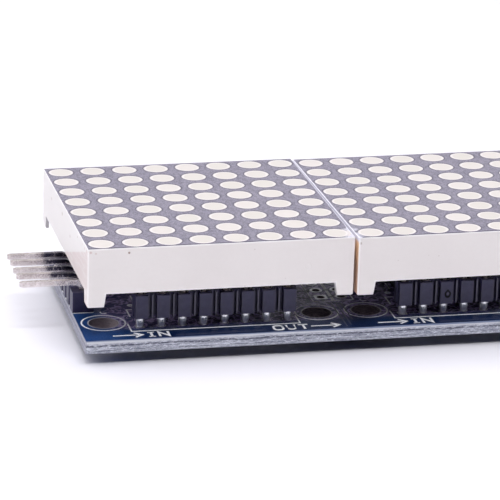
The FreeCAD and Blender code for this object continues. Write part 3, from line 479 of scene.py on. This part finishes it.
def metal_material(name, low, high, rough, spread, streaks=None, wear=0.012, pit=0.4, metallic=1.0):
    """Plated metal with drawn or turned marks, small pits and tarnish; painted dark reflections on the header pins and
    painted shade on the turned contacts' rims.
    """
    t = Tree(name)
    cloud = t.noise(0.9, 4.0, 0.6)
    lines = t.noise(6.0, 4.0, 0.6, vec=t.stretch(streaks)) if streaks else t.noise(7.0, 3.0, 0.6)
    pits = t.step(t.noise(3.6, 5.0, 0.75, 0.3), 0.60, 0.72)
    c = t.mix(t.step(cloud, 0.35, 0.68), low, high)
    c = t.mix(t.mul(pits, pit), c, tuple(v * 0.45 for v in low))
    c = t.mix(t.step(lines, 0.42, 0.72, 0.0, 0.35), c, tuple(min(1.0, v * 1.12) for v in high))
    if name == "header_pins":  # tarnished brown along their upper faces
        face = t.mul(t.step(t.normal[1], -0.6, -0.85), t.step(t.xyz[2], 4.92, 5.0))
        face = t.math("MAXIMUM", face, t.step(t.normal[2], 0.6, 0.85))
        c = t.mix(t.mul(face, t.step(t.noise(4.5, 4.0, 0.75), 0.42, 0.62, 0.05, 0.6)), c, (0.36, 0.285, 0.262))
        # painted reflection: dark navy streaks on the upper and front faces near the display, where the pins reflect
        # the dark board and shade
        dark_reflection_streaks = t.step(t.noise(2.4, 4.0, 0.75, vec=t.stretch((1.7, 0.5, 0.5))), 0.68, 0.54)
        inner = t.step(t.add(t.xyz[0], t.mul(t.noise(1.1, 4.0, 0.7), 1.6)), -65.68, -64.88)
        inner = t.mul(t.mul(inner, t.step(t.xyz[1], -4.5, -3.9)), t.mul(face, dark_reflection_streaks))
        c = t.mix(t.mul(inner, 0.95), c, (0.022, 0.022, 0.050))
    if name == "turned_contacts":  # painted shade on the rims under the displays, dark with a reddish tint
        c = t.mix(t.mul(t.step(t.xyz[2], 5.45, 5.65), 0.85), c, (0.060, 0.035, 0.035))
    t.set(Base_Color=c)
    t.shader.inputs["Metallic"].default_value = metallic
    r = t.add(t.mul(lines, spread), rough)
    r = t.add(r, t.mul(pits, 0.12))
    t.set(Roughness=r)
    t.set(Normal=t.bump(t.add(t.mul(lines, 0.7), t.mul(pits, -0.5)), wear))
    return t.mat


def insulator_material():
    """Black glass-filled moulding: satin, faint swirl, and the ring that a gate left on one post."""
    t = Tree("black_insulator")
    swirl = t.noise(1.3, 4.0, 0.6, 0.7)
    grain = t.noise(9.0, 3.0, 0.7)
    c = t.mix(t.step(swirl, 0.35, 0.7), (0.0215, 0.0185, 0.066), (0.032, 0.0275, 0.086))
    c = t.mix(t.step(grain, 0.62, 0.78, 0.0, 0.3), c, (0.045, 0.042, 0.065))
    x, y, z = t.xyz[0], t.xyz[1], t.xyz[2]
    way = t.math("MODULO", t.add(t.math("MODULO", t.add(x, 96.0), 32.0), 1.78), PIN)
    way = t.math("MINIMUM", way, t.sub(PIN, way))  # distance from the nearest fin
    deep = t.math("ABSOLUTE", t.sub(t.math("ABSOLUTE", y), 12.0))
    # painted highlight: the front of each fin paler, as light caught on its edge
    fin = t.mul(t.mul(t.step(way, 0.105, 0.07), t.step(deep, 0.93, 0.98)), t.step(deep, 1.06, 1.03))
    c = t.mix(t.mul(fin, t.step(t.noise(1.6, 3.0), 0.25, 0.5, 0.55, 1.0)), c, (0.115, 0.108, 0.155))
    # posts painted a little paler along their upright edges: a painted edge highlight
    edge = t.mul(t.step(t.math("ABSOLUTE", t.sub(way, 0.56)), 0.09, 0.03), t.step(deep, 1.20, 1.24))
    c = t.mix(t.mul(edge, 0.5), c, (0.045, 0.041, 0.070))
    gx, gz = t.add(x, 19.69), t.sub(z, 4.28)
    gx = t.mul(gx, t.step(gz, 0.05, 0.75, 1.0, 2.6))  # narrow towards the top
    d = t.math("SQRT", t.add(t.mul(gx, gx), t.mul(t.mul(gz, gz), 0.55)))
    front = t.math("LESS_THAN", y, -13.2)
    gate = t.mul(t.step(t.math("ABSOLUTE", t.sub(d, 0.30)), 0.13, 0.08), front)
    c = t.mix(gate, c, (0.001, 0.001, 0.003))
    pip = t.mul(t.step(d, 0.15, 0.08), front)
    c = t.mix(t.mul(pip, 0.8), c, (0.10, 0.095, 0.13))
    t.set(Base_Color=c)
    t.set(Roughness=t.add(t.add(t.mul(grain, 0.2), t.mul(gate, 0.5)), t.add(t.mul(swirl, 0.1), 0.26)))
    t.shader.inputs["Specular IOR Level"].default_value = 0.5
    height = t.add(t.mul(grain, 0.6), t.mul(swirl, 0.9))
    t.set(Normal=t.bump(t.sub(height, t.mul(gate, 2.5)), 0.010))
    return t.mat


def chip_material():
    """Black moulding compound with a fine matt grain and faint paler patches."""
    t = Tree("chip_moulding")
    grain = t.noise(14.0, 3.0, 0.7)
    c = t.mix(t.step(grain, 0.4, 0.7), (0.022, 0.022, 0.026), (0.045, 0.044, 0.05))
    c = t.mix(t.step(t.noise(0.6, 3.0), 0.45, 0.7, 0.0, 0.5), c, (0.055, 0.054, 0.06))
    t.set(Base_Color=c)
    t.set(Roughness=t.add(t.mul(grain, 0.18), 0.48))
    t.set(Normal=t.bump(grain, 0.010))
    return t.mat


def can_material():
    """Drawn aluminium can: satin, ring marks, with a dark half-moon of ink on its top."""
    t = Tree("capacitor_can")
    x, y, z = t.xyz[0], t.xyz[1], t.xyz[2]
    lx = t.sub(t.math("MODULO", t.add(x, 80.0), 32.0), 21.4)  # from the can's axis
    ly = t.sub(y, 2.6)
    lines = t.noise(3.0, 4.0, 0.6, vec=t.stretch((0.6, 0.6, 12.0)))
    c = t.mix(t.step(lines, 0.35, 0.7), (0.72, 0.73, 0.76), (0.86, 0.87, 0.89))
    half = t.mul(t.step(lx, -0.72, -0.80), t.math("GREATER_THAN", z, 6.75))
    ink = t.mul(half, t.step(t.noise(2.5, 3.0), 0.2, 0.4))
    c = t.mix(ink, c, (0.03, 0.03, 0.04))
    t.set(Base_Color=c)
    t.set(Metallic=t.math("SUBTRACT", 1.0, ink))
    t.set(Roughness=t.add(t.mul(lines, 0.16), 0.24))
    t.set(Normal=t.bump(t.add(t.mul(lines, 0.7), t.mul(t.noise(1.5, 2.0), 0.8)), 0.012))
    return t.mat


def chip_part_material(name, body_low, body_high, end_at):
    """A small part on the board: fired body with tinned ends at both ends of its length."""
    t = Tree(name)
    y = t.xyz[1]
    n = t.noise(3.0, 4.0, 0.6)
    body = t.mix(t.step(n, 0.35, 0.65), body_low, body_high)
    tin = t.mix(t.step(t.noise(5.0, 3.0), 0.35, 0.7), (0.62, 0.61, 0.60), (0.80, 0.79, 0.78))
    d = t.math("ABSOLUTE", t.sub(t.math("ABSOLUTE", y), 2.6))
    end = t.step(t.add(d, t.mul(t.sub(n, 0.5), 0.12)), end_at - 0.03, end_at + 0.03)
    t.set(Base_Color=t.mix(end, body, tin))
    t.set(Metallic=t.mul(end, 0.95))
    t.set(Roughness=t.add(t.mul(n, 0.2), 0.28))
    t.set(Normal=t.bump(t.add(n, t.mul(end, 1.5)), 0.012))
    return t.mat


def plain_grain(name, low, high, rough, scale=2.5, depth=0.01, metallic=0.0):
    t = Tree(name)
    n = t.noise(scale, 4.0, 0.65)
    t.set(Base_Color=t.mix(t.step(n, 0.33, 0.67), low, high))
    t.set(Roughness=t.add(t.mul(n, 0.2), rough))
    t.shader.inputs["Metallic"].default_value = metallic
    t.set(Normal=t.bump(n, depth))
    return t.mat


def floor_material():
    t = Tree("floor_white")
    n = t.noise(0.02, 3.0)
    t.set(Base_Color=t.mix(n, (0.812, 0.805, 0.868), (0.822, 0.815, 0.878)))
    t.set(Roughness=t.add(t.mul(t.noise(0.5, 3.0), 0.1), 0.55))
    t.shader.inputs["Specular IOR Level"].default_value = 0.25
    t.set(Normal=t.bump(t.noise(1.5, 3.0), 0.004))
    return t.mat


floor.data.materials.append(floor_material())

BOARD = board_material()
HOUSING = {k: housing_material(k) for k in (1, 2, 3, 4)}
INK = {k: ink_material(k) for k in (1, 2, 3, 4)}
RESIN = {k: resin_material(k) for k in (1, 2, 3, 4)}
TRACK, PRINT, INSULATOR, CHIP, CAN = copper_material(), print_material(), insulator_material(), chip_material(), can_material()
TINNED = metal_material("tinned_leads", (0.66, 0.60, 0.585), (0.86, 0.80, 0.78), 0.20, 0.20, (0.35, 3.0, 3.0), 0.014)
PINS = metal_material("header_pins", (0.62, 0.57, 0.565), (0.82, 0.755, 0.745), 0.05, 0.16, (0.5, 4.0, 4.0), 0.016, 0.45)
TURNED = metal_material("turned_contacts", (0.88, 0.90, 0.96), (0.975, 0.985, 1.0), 0.17, 0.07, (0.4, 0.4, 5.0), 0.006, 0.10, 0.66)
CLIP = metal_material("clip_brass", (0.62, 0.45, 0.18), (0.80, 0.62, 0.28), 0.2, 0.15)
SOLDER = metal_material("solder_bright", (0.58, 0.58, 0.60), (0.80, 0.80, 0.82), 0.16, 0.2, None, 0.02)
PAD = metal_material("tinned_pad", (0.48, 0.48, 0.53), (0.70, 0.70, 0.75), 0.24, 0.2, None, 0.016)
CERAMIC = chip_part_material("ceramic_body", (0.36, 0.25, 0.15), (0.52, 0.40, 0.27), 0.66)
RESISTOR = chip_part_material("resistor_body", (0.012, 0.012, 0.015), (0.035, 0.035, 0.04), 0.70)
INNER = plain_grain("inner_laminate", (0.38, 0.30, 0.16), (0.52, 0.43, 0.25), 0.5)
DIE = plain_grain("led_chip", (0.50, 0.34, 0.16), (0.70, 0.52, 0.30), 0.15, 8.0, 0.004, 0.3)

BY_SLOT = {
    "board_laminate": BOARD, "inner_laminate": INNER, "led_chip": DIE,
    "tinned_leads": TINNED, "turned_contacts": TURNED, "clip_brass": CLIP, "black_insulator": INSULATOR,
    "chip_moulding": CHIP, "capacitor_can": CAN, "ceramic_body": CERAMIC, "resistor_body": RESISTOR, "solder": SOLDER,
}
for part in frame["record"]["subparts"]:
    node = frame["nodes"][part["node"]]
    if not node.data.materials:
        node.data.materials.append(None)
    if part["material_slot"] == "white_housing":
        mat = HOUSING[int(part["node"].split("_")[1])]
    elif part["material_slot"] == "cast_resin":
        mat = RESIN[int(part["node"].split("_")[1])]
    elif part["node"] == "input_header_pins":
        mat = PINS
    else:
        mat = BY_SLOT[part["material_slot"]]
    for i in range(len(node.data.materials)):
        node.data.materials[i] = mat


# ---------------------------------------------------------------- mesh helpers, all in millimetres
class Shell:
    """Collects closed solids and makes one piece of them."""

    def __init__(self):
        self.verts, self.faces = [], []

    def take(self, verts, faces):
        n = len(self.verts)
        self.verts += verts
        self.faces += [tuple(i + n for i in f) for f in faces]

    def piece(self, name, material, slot, smooth=False):
        mesh = bpy.data.meshes.new(name)
        mesh.from_pydata([(x * MM, y * MM, z * MM) for x, y, z in self.verts], [], self.faces)
        mesh.validate()
        mesh.materials.append(material)
        mesh.update()
        if smooth:
            mesh.shade_smooth()
        obj = bpy.data.objects.new(name, mesh)
        bpy.context.scene.collection.objects.link(obj)
        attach(obj, "root")
        return obj


def in_loop(p, loop):
    x, y = p
    hit = False
    j = len(loop) - 1
    for i in range(len(loop)):
        xi, yi = loop[i]
        xj, yj = loop[j]
        if (yi > y) != (yj > y) and x < (xj - xi) * (y - yi) / (yj - yi) + xi:
            hit = not hit
        j = i
    return hit


def slab(outer, holes, z0, z1, bevel=0.0, keep=None):
    """A closed flat solid over outer less its holes, from z0 to z1."""
    loops = [outer] + list(holes)
    pts, edges = [], []
    for loop in loops:
        n = len(pts)
        pts += [Vector(p) for p in loop]
        edges += [(n + i, n + (i + 1) % len(loop)) for i in range(len(loop))]
    v2, _, tris, *_ = delaunay_2d_cdt(pts, edges, [], 0, 1e-6)
    kept = []
    for f in tris:
        c = sum((v2[i] for i in f), Vector((0, 0))) / len(f)
        if keep is not None:
            if keep(c):
                kept.append(tuple(f))
        elif in_loop(c, outer) and not any(in_loop(c, h) for h in holes):
            kept.append(tuple(f))
    count = {}
    for f in kept:
        for i in range(len(f)):
            a, b = f[i], f[(i + 1) % len(f)]
            count[(a, b)] = count.get((a, b), 0) + 1
    n = len(v2)
    verts = [(p.x, p.y, z1) for p in v2] + [(p.x, p.y, z0) for p in v2]
    faces = list(kept) + [tuple(i + n for i in reversed(f)) for f in kept]
    for a, b in count:
        if (b, a) not in count:
            faces.append((b, a, a + n, b + n))
    used = sorted({i for f in faces for i in f})
    new = {old: k for k, old in enumerate(used)}
    return [verts[i] for i in used], [tuple(new[i] for i in f) for f in faces]


def ring(cx, cy, r_in, r_out, z0, z1, n=48, square=False, bevel=0.02):
    """A flat washer, round or with a square outside, its top edges eased; z1 above z0 or below it."""
    verts, faces = [], []
    sign = 1 if z1 > z0 else -1

    def outside(r, a):
        if not square:
            return r
        return r / max(abs(math.cos(a)), abs(math.sin(a)))

    for i in range(n):
        a = 2 * math.pi * (i + 0.5) / n
        ca, sa = math.cos(a), math.sin(a)
        for r, z in ((r_in, z0), (r_in, z1 - sign * bevel * 0.5), (r_in + bevel, z1),
                     (outside(r_out - bevel, a), z1), (outside(r_out, a), z1 - sign * bevel * 0.5), (outside(r_out, a), z0)):
            verts.append((cx + r * ca, cy + r * sa, z))
    m = 6
    for i in range(n):
        j = (i + 1) % n
        for k in range(m):
            l = (k + 1) % m
            quad = (i * m + k, i * m + l, j * m + l, j * m + k)
            faces.append(quad if sign > 0 else tuple(reversed(quad)))
    return verts, faces


def track(path, width, z0, z1, ease=0.05):
    """A raised strip along a path with mitred corners and eased shoulders."""
    pts = [Vector(p) for p in path]
    n = len(pts)
    offs = []
    for i in range(n):
        d0 = (pts[i] - pts[i - 1]).normalized() if i else (pts[1] - pts[0]).normalized()
        d1 = (pts[i + 1] - pts[i]).normalized() if i < n - 1 else d0
        m = (d0 + d1).normalized()
        k = 1 / max(0.35, m.dot(d0))
        offs.append(Vector((-m.y, m.x)) * k)
    sign = 1 if z1 > z0 else -1
    h = width / 2
    verts, faces = [], []
    for p, o in zip(pts, offs):
        for w, z in ((h, z0), (h - ease, z1), (-(h - ease), z1), (-h, z0)):
            q = p + o * w
            verts.append((q.x, q.y, z))
    for i in range(n - 1):
        a, b = i * 4, (i + 1) * 4
        for k in range(4):
            l = (k + 1) % 4
            quad = (a + k, b + k, b + l, a + l)
            faces.append(quad if sign > 0 else tuple(reversed(quad)))
    e = (n - 1) * 4
    ends = [(0, 1, 2, 3), (e + 3, e + 2, e + 1, e)]
    faces += ends if sign > 0 else [tuple(reversed(f)) for f in ends]
    return verts, faces


def stroke(path, width, z0, z1):
    return track(path, width, z0, z1, ease=0.015)


# ---------------------------------------------------------------- printed face of each display
def face_print(k, cx):
    rnd = random.Random(40 + k)
    z0, z1 = FACE_TOP - 0.006, FACE_TOP + 0.012
    seed = Vector((k * 7.3, 1.7, 0.4))

    def wander(x, y, amount, scale=1.1):
        return amount * noise.noise(Vector((x * scale, y * scale, 0.0)) + seed)

    # the outline, a little uneven, walked counter-clockwise; the rim's rounding starts at 15.84
    e = 15.80
    outline = []
    step = 0.5
    m = int(2 * e / step)
    for i in range(m):
        s = -e + 2 * e * i / m
        outline.append((s, -e + 0.02 + wander(s, -9, 0.05)))
    for i in range(m):
        s = -e + 2 * e * i / m
        outline.append((e + wander(9, s, 0.03), s))
    for i in range(m):
        s = e - 2 * e * i / m
        outline.append((s, e + wander(s, 9, 0.03)))
    for i in range(m):
        s = e - 2 * e * i / m
        outline.append((-e + wander(-9, s, 0.03), s))
    bare = []
    if k == 1:  # ink scraped off the front right corner
        bare.append([(14.92, -16.3), (14.98, -15.62), (15.16, -15.42), (15.14, -15.06), (15.34, -14.85), (15.30, -14.3),
                     (15.46, -13.9), (15.52, -13.2), (15.66, -12.8), (15.70, -12.2), (16.2, -11.9), (16.4, -16.4)])
        bare.append([(13.9, -15.35), (14.2, -15.18), (14.6, -15.24), (14.66, -15.42), (14.3, -15.52), (13.95, -15.5)])
    if k == 2:  # and a smaller patch on the next display
        bare.append([(-16.3, -16.3), (-15.4, -16.3), (-15.48, -15.6), (-15.62, -15.3), (-15.68, -14.9), (-16.4, -14.6)])
        bare.append([(2.05, -16.0), (2.2, -15.6), (2.48, -15.54), (2.72, -15.66), (2.8, -16.0)])
    if k == 3:
        bare.append([(-16.2, 14.9), (-15.4, 15.1), (-15.1, 15.5), (-15.0, 16.2), (-16.2, 16.2)])
    dots = []
    for i in range(8):
        for j in range(8):
            x, y = -14 + 4 * i, -14 + 4 * j
            n = 40
            dx, dy = rnd.uniform(-0.015, 0.015), rnd.uniform(-0.015, 0.015)
            loop = []
            for a in range(n):
                t = 2 * math.pi * a / n
                r = 1.525 + wander(x + 2 * math.cos(t), y + 2 * math.sin(t), 0.028, 1.7)
                loop.append((x + dx + r * math.cos(t), y + dy + r * math.sin(t)))
            dots.append(loop)
    pts, edges = [], []
    for loop in [outline] + dots + bare:
        n = len(pts)
        pts += [Vector(p) for p in loop]
        edges += [(n + i, n + (i + 1) % len(loop)) for i in range(len(loop))]
    v2, _, tris, *_ = delaunay_2d_cdt(pts, edges, [], 0, 1e-6)
    kept = []
    for f in tris:
        c = sum((v2[i] for i in f), Vector((0, 0))) / 3
        i, j = round((c.x + 14) / 4), round((c.y + 14) / 4)
        if not in_loop(c, outline) or any(in_loop(c, b) for b in bare):
            continue
        if 0 <= i < 8 and 0 <= j < 8 and in_loop(c, dots[i * 8 + j]):
            continue
        kept.append(tuple(f))
    count = set()
    for f in kept:
        for i in range(3):
            count.add((f[i], f[(i + 1) % 3]))
    n = len(v2)
    ca, sa = math.cos(TURN[k - 1]), math.sin(TURN[k - 1])
    mx = cx + SHIFT[k - 1]
    flat = [(p.x * ca - p.y * sa + mx, p.x * sa + p.y * ca) for p in v2]
    verts = [(a, b, z1) for a, b in flat] + [(a, b, z0) for a, b in flat]
    faces = list(kept) + [tuple(i + n for i in reversed(f)) for f in kept]
    faces += [(b, a, a + n, b + n) for a, b in sorted(count) if (b, a) not in count]
    used = sorted({i for f in faces for i in f})
    new = {old: q for q, old in enumerate(used)}
    shell = Shell()
    shell.take([verts[i] for i in used], [tuple(new[i] for i in f) for f in faces])
    return shell.piece("display_%d_face_print" % k, INK[k], "white_housing")


for k, cx in enumerate(CENTRES, start=1):
    face_print(k, cx)


# ---------------------------------------------------------------- legend, pads and tracks of the board
def legend_top(shell, cx, k):
    z0, z1 = BOARD_TOP - 0.005, BOARD_TOP + 0.022
    line = 0.195
    for sx in (-1, 1):
        for sy in (-1, 1):
            shell.take(*ring(cx + sx * HOLE_X, sy * HOLE_Y, 2.50, 2.70, z0, z1, n=64, bevel=0.01))
    for sy in (-1, 1):
        shell.take(*stroke([(cx - 10.16, sy * 10.9), (cx - 10.16, sy * 13.5), (cx + 10.16, sy * 13.5), (cx + 10.16, sy * 10.9)],
                           line, z0, z1))
        shell.take(*stroke([(cx - 8.46, sy * 6.1), (cx - 9.45, sy * 6.1), (cx - 9.45, sy * 8.6)], line, z0, z1))
        shell.take(*stroke([(cx + 8.46, sy * 6.1), (cx + 9.45, sy * 6.1), (cx + 9.45, sy * 8.6)], line, z0, z1))
    # frames round the two pad columns
    for side in (-1, 1):
        inner = cx + side * 13.5
        outer = cx + side * 15.9
        loop = [(inner, -6.42), (outer, -6.42), (outer, 6.42), (inner, 6.42)]
        for a, b in zip(loop, loop[1:] + loop[:1]):
            shell.take(*stroke([a, b], line, z0, z1))
    # chip outline and pin-one dot
    for sy in (-1, 1):
        shell.take(*stroke([(cx - 8.1, sy * 3.3), (cx - 8.1, sy * 1.2)], line, z0, z1))
        shell.take(*stroke([(cx + 8.1, sy * 3.3), (cx + 8.1, sy * 0.2)], line, z0, z1))
    shell.take(*ring(cx - 8.7, -4.6, 0.12, 0.42, z0, z1, n=24, bevel=0.01))
    arc = [math.radians(150 + 12 * i) for i in range(15)]
    shell.take(*stroke([(cx - 12.3 + 0.4 * math.cos(a), -6.55 + 0.4 * math.sin(a)) for a in arc], 0.15, z0, z1))
    # can outline with a chamfered corner, and two small frames
    c = [(-13.1, 0.1), (-8.1, 0.1), (-8.1, 5.1), (-12.1, 5.1), (-13.1, 4.1)]
    for a, b in zip(c, c[1:] + c[:1]):
        shell.take(*stroke([(cx + a[0], a[1]), (cx + b[0], b[1])], line, z0, z1))
    for yy in (2.6, -2.6):
        for s in (-1, 1):
            shell.take(*stroke([(cx + 10.4 + s * 0.95, yy - 1.35), (cx + 10.4 + s * 0.95, yy + 1.35)], 0.16, z0, z1))
    # IN with its arrow, OUT with its arrow, along the front edge and, turned round, along the back
    w = 0.24
    for sgn in (1, -1):
        def put(path, width=w):
            shell.take(*stroke([(cx + sgn * px, sgn * py) for px, py in path], width, z0, z1))

        lo, hi = -15.55, -13.98
        mid = (lo + hi) / 2
        # arrow in
        put([(-12.6, mid + 0.02), (-9.5, mid + 0.02)], 0.24)
        put([(-10.0, mid + 0.72), (-9.1, mid + 0.02), (-10.0, mid - 0.68)], 0.27)
        # I
        put([(-8.02, lo), (-8.02, hi)], 0.32)
        put([(-8.42, hi - 0.09), (-7.62, hi - 0.09)], 0.18)
        put([(-8.42, lo + 0.09), (-7.62, lo + 0.09)], 0.18)
        # N
        put([(-7.1, lo), (-7.1, hi - 0.1), (-6.0, lo + 0.1), (-6.0, hi)], 0.29)
        # O
        o = []
        for i in range(24):
            a = 2 * math.pi * i / 24
            sx = math.copysign(abs(math.cos(a)) ** 0.55, math.cos(a)) * 0.55
            sy = math.copysign(abs(math.sin(a)) ** 0.55, math.sin(a)) * 0.68
            o.append((7.2 + sx, mid + sy))
        put(o + [o[0], o[1]], 0.29)
        # U
        u = [(8.28, hi), (8.28, lo + 0.45)]
        for i in range(7):
            a = math.pi + math.pi * i / 6
            u.append((8.76 + 0.48 * math.cos(a), lo + 0.50 + 0.40 * math.sin(a)))
        u += [(9.24, lo + 0.45), (9.24, hi)]
        put(u, 0.29)
        # T
        put([(9.72, hi - 0.1), (10.86, hi - 0.1)], 0.26)
        put([(10.29, hi - 0.1), (10.29, lo)], 0.30)
        # arrow out
        put([(11.17, mid + 0.02), (14.3, mid + 0.02)], 0.24)
        put([(13.75, mid + 0.72), (14.68, mid + 0.02), (13.75, mid - 0.68)], 0.27)


def legend_bottom(shell, cx, k):
    z0, z1 = 0.005, -0.022
    for sx in (-1, 1):
        for sy in (-1, 1):
            shell.take(*ring(cx + sx * HOLE_X, sy * HOLE_Y, 2.50, 2.70, z0, z1, n=64, bevel=0.01))
    for sy in (-1, 1):
        for a, b in (((-10.4, 10.6), (10.4, 10.6)), ((10.4, 10.6), (10.4, 13.4)), ((10.4, 13.4), (-10.4, 13.4)), ((-10.4, 13.4), (-10.4, 10.6))):
            shell.take(*stroke([(cx + a[0], sy * a[1]), (cx + b[0], sy * b[1])], 0.18, z0, z1))


def header_pads():
    for k, cx in enumerate(CENTRES, start=1):
        for side in (-1, 1):
            for i in range(5):
                yield k, side, i, cx + side * 14.73, -5.08 + PIN * i


def socket_pads():
    for k, cx in enumerate(CENTRES, start=1):
        for sy in (-1, 1):
            for i in range(8):
                yield k, sy, i, cx - 8.89 + PIN * i, sy * ROW_Y


legend = Shell()
legend_b = Shell()
pads_top, pads_bottom = Shell(), Shell()
tracks_top, tracks_bottom = Shell(), Shell()
for k, cx in enumerate(CENTRES, start=1):
    legend_top(legend, cx, k)
    legend_bottom(legend_b, cx, k)
for k, side, i, x, y in header_pads():
    square = side > 0 and i == 0 or side < 0 and i == 4
    pads_top.take(*ring(x, y, 0.5, 0.78, BOARD_TOP - 0.005, BOARD_TOP + 0.04, n=32, square=square))
    pads_bottom.take(*ring(x, y, 0.5, 0.86, 0.005, -0.04, n=32, square=square))
for k, sy, i, x, y in socket_pads():
    pads_top.take(*ring(x, y, 0.45, 0.56, BOARD_TOP - 0.005, BOARD_TOP + 0.04, n=32, square=i == 0))
    pads_bottom.take(*ring(x, y, 0.45, 0.98, 0.005, -0.03, n=32))

zt0, zt1 = BOARD_TOP - 0.005, BOARD_TOP + 0.03
rng = random.Random(11)
for k, cx in enumerate(CENTRES, start=1):
    # rows of pads to the chip, with a jog in each
    for sy in (-1, 1):
        for i in range(8):
            x = cx - 8.89 + PIN * i
            lead_x = cx + (i - 3.5) * 1.27 * 1.32
            tracks_top.take(*track([(x, sy * 11.3), (x, sy * 10.0), (lead_x, sy * (10.0 - min(3.4, abs(x - lead_x)))), (lead_x, sy * 5.6)],
                                   0.28, zt0, zt1))
            if i in (1, 2, 4, 5, 7):
                s = 1 if rng.random() < 0.5 else -1
                tracks_top.take(*track([(x + s * 0.78, sy * 12.2), (x + s * 1.02, sy * 12.45), (x + s * 1.27, sy * 12.95),
                                        (x + s * 2.1, sy * 12.95)], 0.2, zt0, zt1))
            if i < 7:
                a = x + PIN / 2 + rng.uniform(-0.2, 0.2)
                tracks_top.take(*ring(a, sy * (12.35 + rng.uniform(-0.3, 0.2)), 0.13, 0.3, zt0, zt1 + 0.01, n=20))
                tracks_top.take(*track([(a - 0.1, sy * 12.6), (a + 0.35, sy * 13.1), (a + 0.35, sy * 13.35)], 0.16, zt0, zt1))
            tracks_bottom.take(*track([(x, sy * 11.0), (x, sy * (8.6 - 0.35 * i)), (x + 1.4, sy * (7.2 - 0.35 * i)), (x + 1.4, sy * 1.2)],
                                      0.28, 0.005, -0.03))
    # along the front and back edges
    for sy in (-1, 1):
        for i in range(3, 6):
            a = cx - 8.89 + PIN * i + 0.55
            tracks_top.take(*track([(a, sy * 14.2), (a + 0.8, sy * 14.2)], 0.2, zt0, zt1))
            tracks_top.take(*track([(a - 0.2, sy * 14.85), (a + 0.45, sy * 14.85)], 0.2, zt0, zt1))
        tracks_top.take(*track([(cx - 5.2, sy * 15.35), (cx + 5.6, sy * 15.35)], 0.16, zt0, zt1))
    # beside the seam between modules, running towards the front
    for off, y0, y1 in ((15.45, -15.5, -7.6), (16.05, -15.0, -7.3), (16.65, -13.3, -7.6)):
        if k < 4 or off < 15.9:
            tracks_top.take(*track([(cx + off, y0), (cx + off, y1), (cx + off - 0.5, y1 + 0.5)], 0.22, zt0, zt1))
            tracks_top.take(*track([(cx + off, -y0), (cx + off, -y1), (cx + off - 0.5, -y1 - 0.5)], 0.22, zt0, zt1))
    # links between neighbouring pad columns, and from the columns to the chip
    for i in range(5):
        y = -5.08 + PIN * i
        if k < 4:
            tracks_top.take(*track([(cx + 14.73 + 0.8, y), (cx + 17.27 - 0.8, y)], 0.5, zt0, zt1))
        tracks_top.take(*track([(cx + 13.9, y), (cx + 12.6, y), (cx + 12.0, y * 0.94), (cx + 11.6, y * 0.94)], 0.28, zt0, zt1))
        tracks_bottom.take(*track([(cx - 13.8, y), (cx - 10.0, y * 0.8), (cx + 10.0, y * 0.8), (cx + 13.8, y)], 0.35, 0.005, -0.03))
    # vias: small masked humps
    for i in range(26):
        a, b = rng.uniform(-9.5, 9.5), rng.uniform(6.4, 10.4)
        sy = rng.choice((-1, 1))
        tracks_top.take(*ring(cx + a, sy * b, 0.14, 0.34, zt0, zt1 + 0.01, n=20))
legend.piece("board_legend_top", PRINT, "board_laminate")
legend_b.piece("board_legend_underside", PRINT, "board_laminate")
pads_top.piece("board_pads_top", PAD, "tinned_leads")
pads_bottom.piece("board_pads_underside", PAD, "tinned_leads")
tracks_top.piece("board_tracks_top", TRACK, "board_laminate")
tracks_bottom.piece("board_tracks_underside", TRACK, "board_laminate")

bpy.context.view_layer.update()
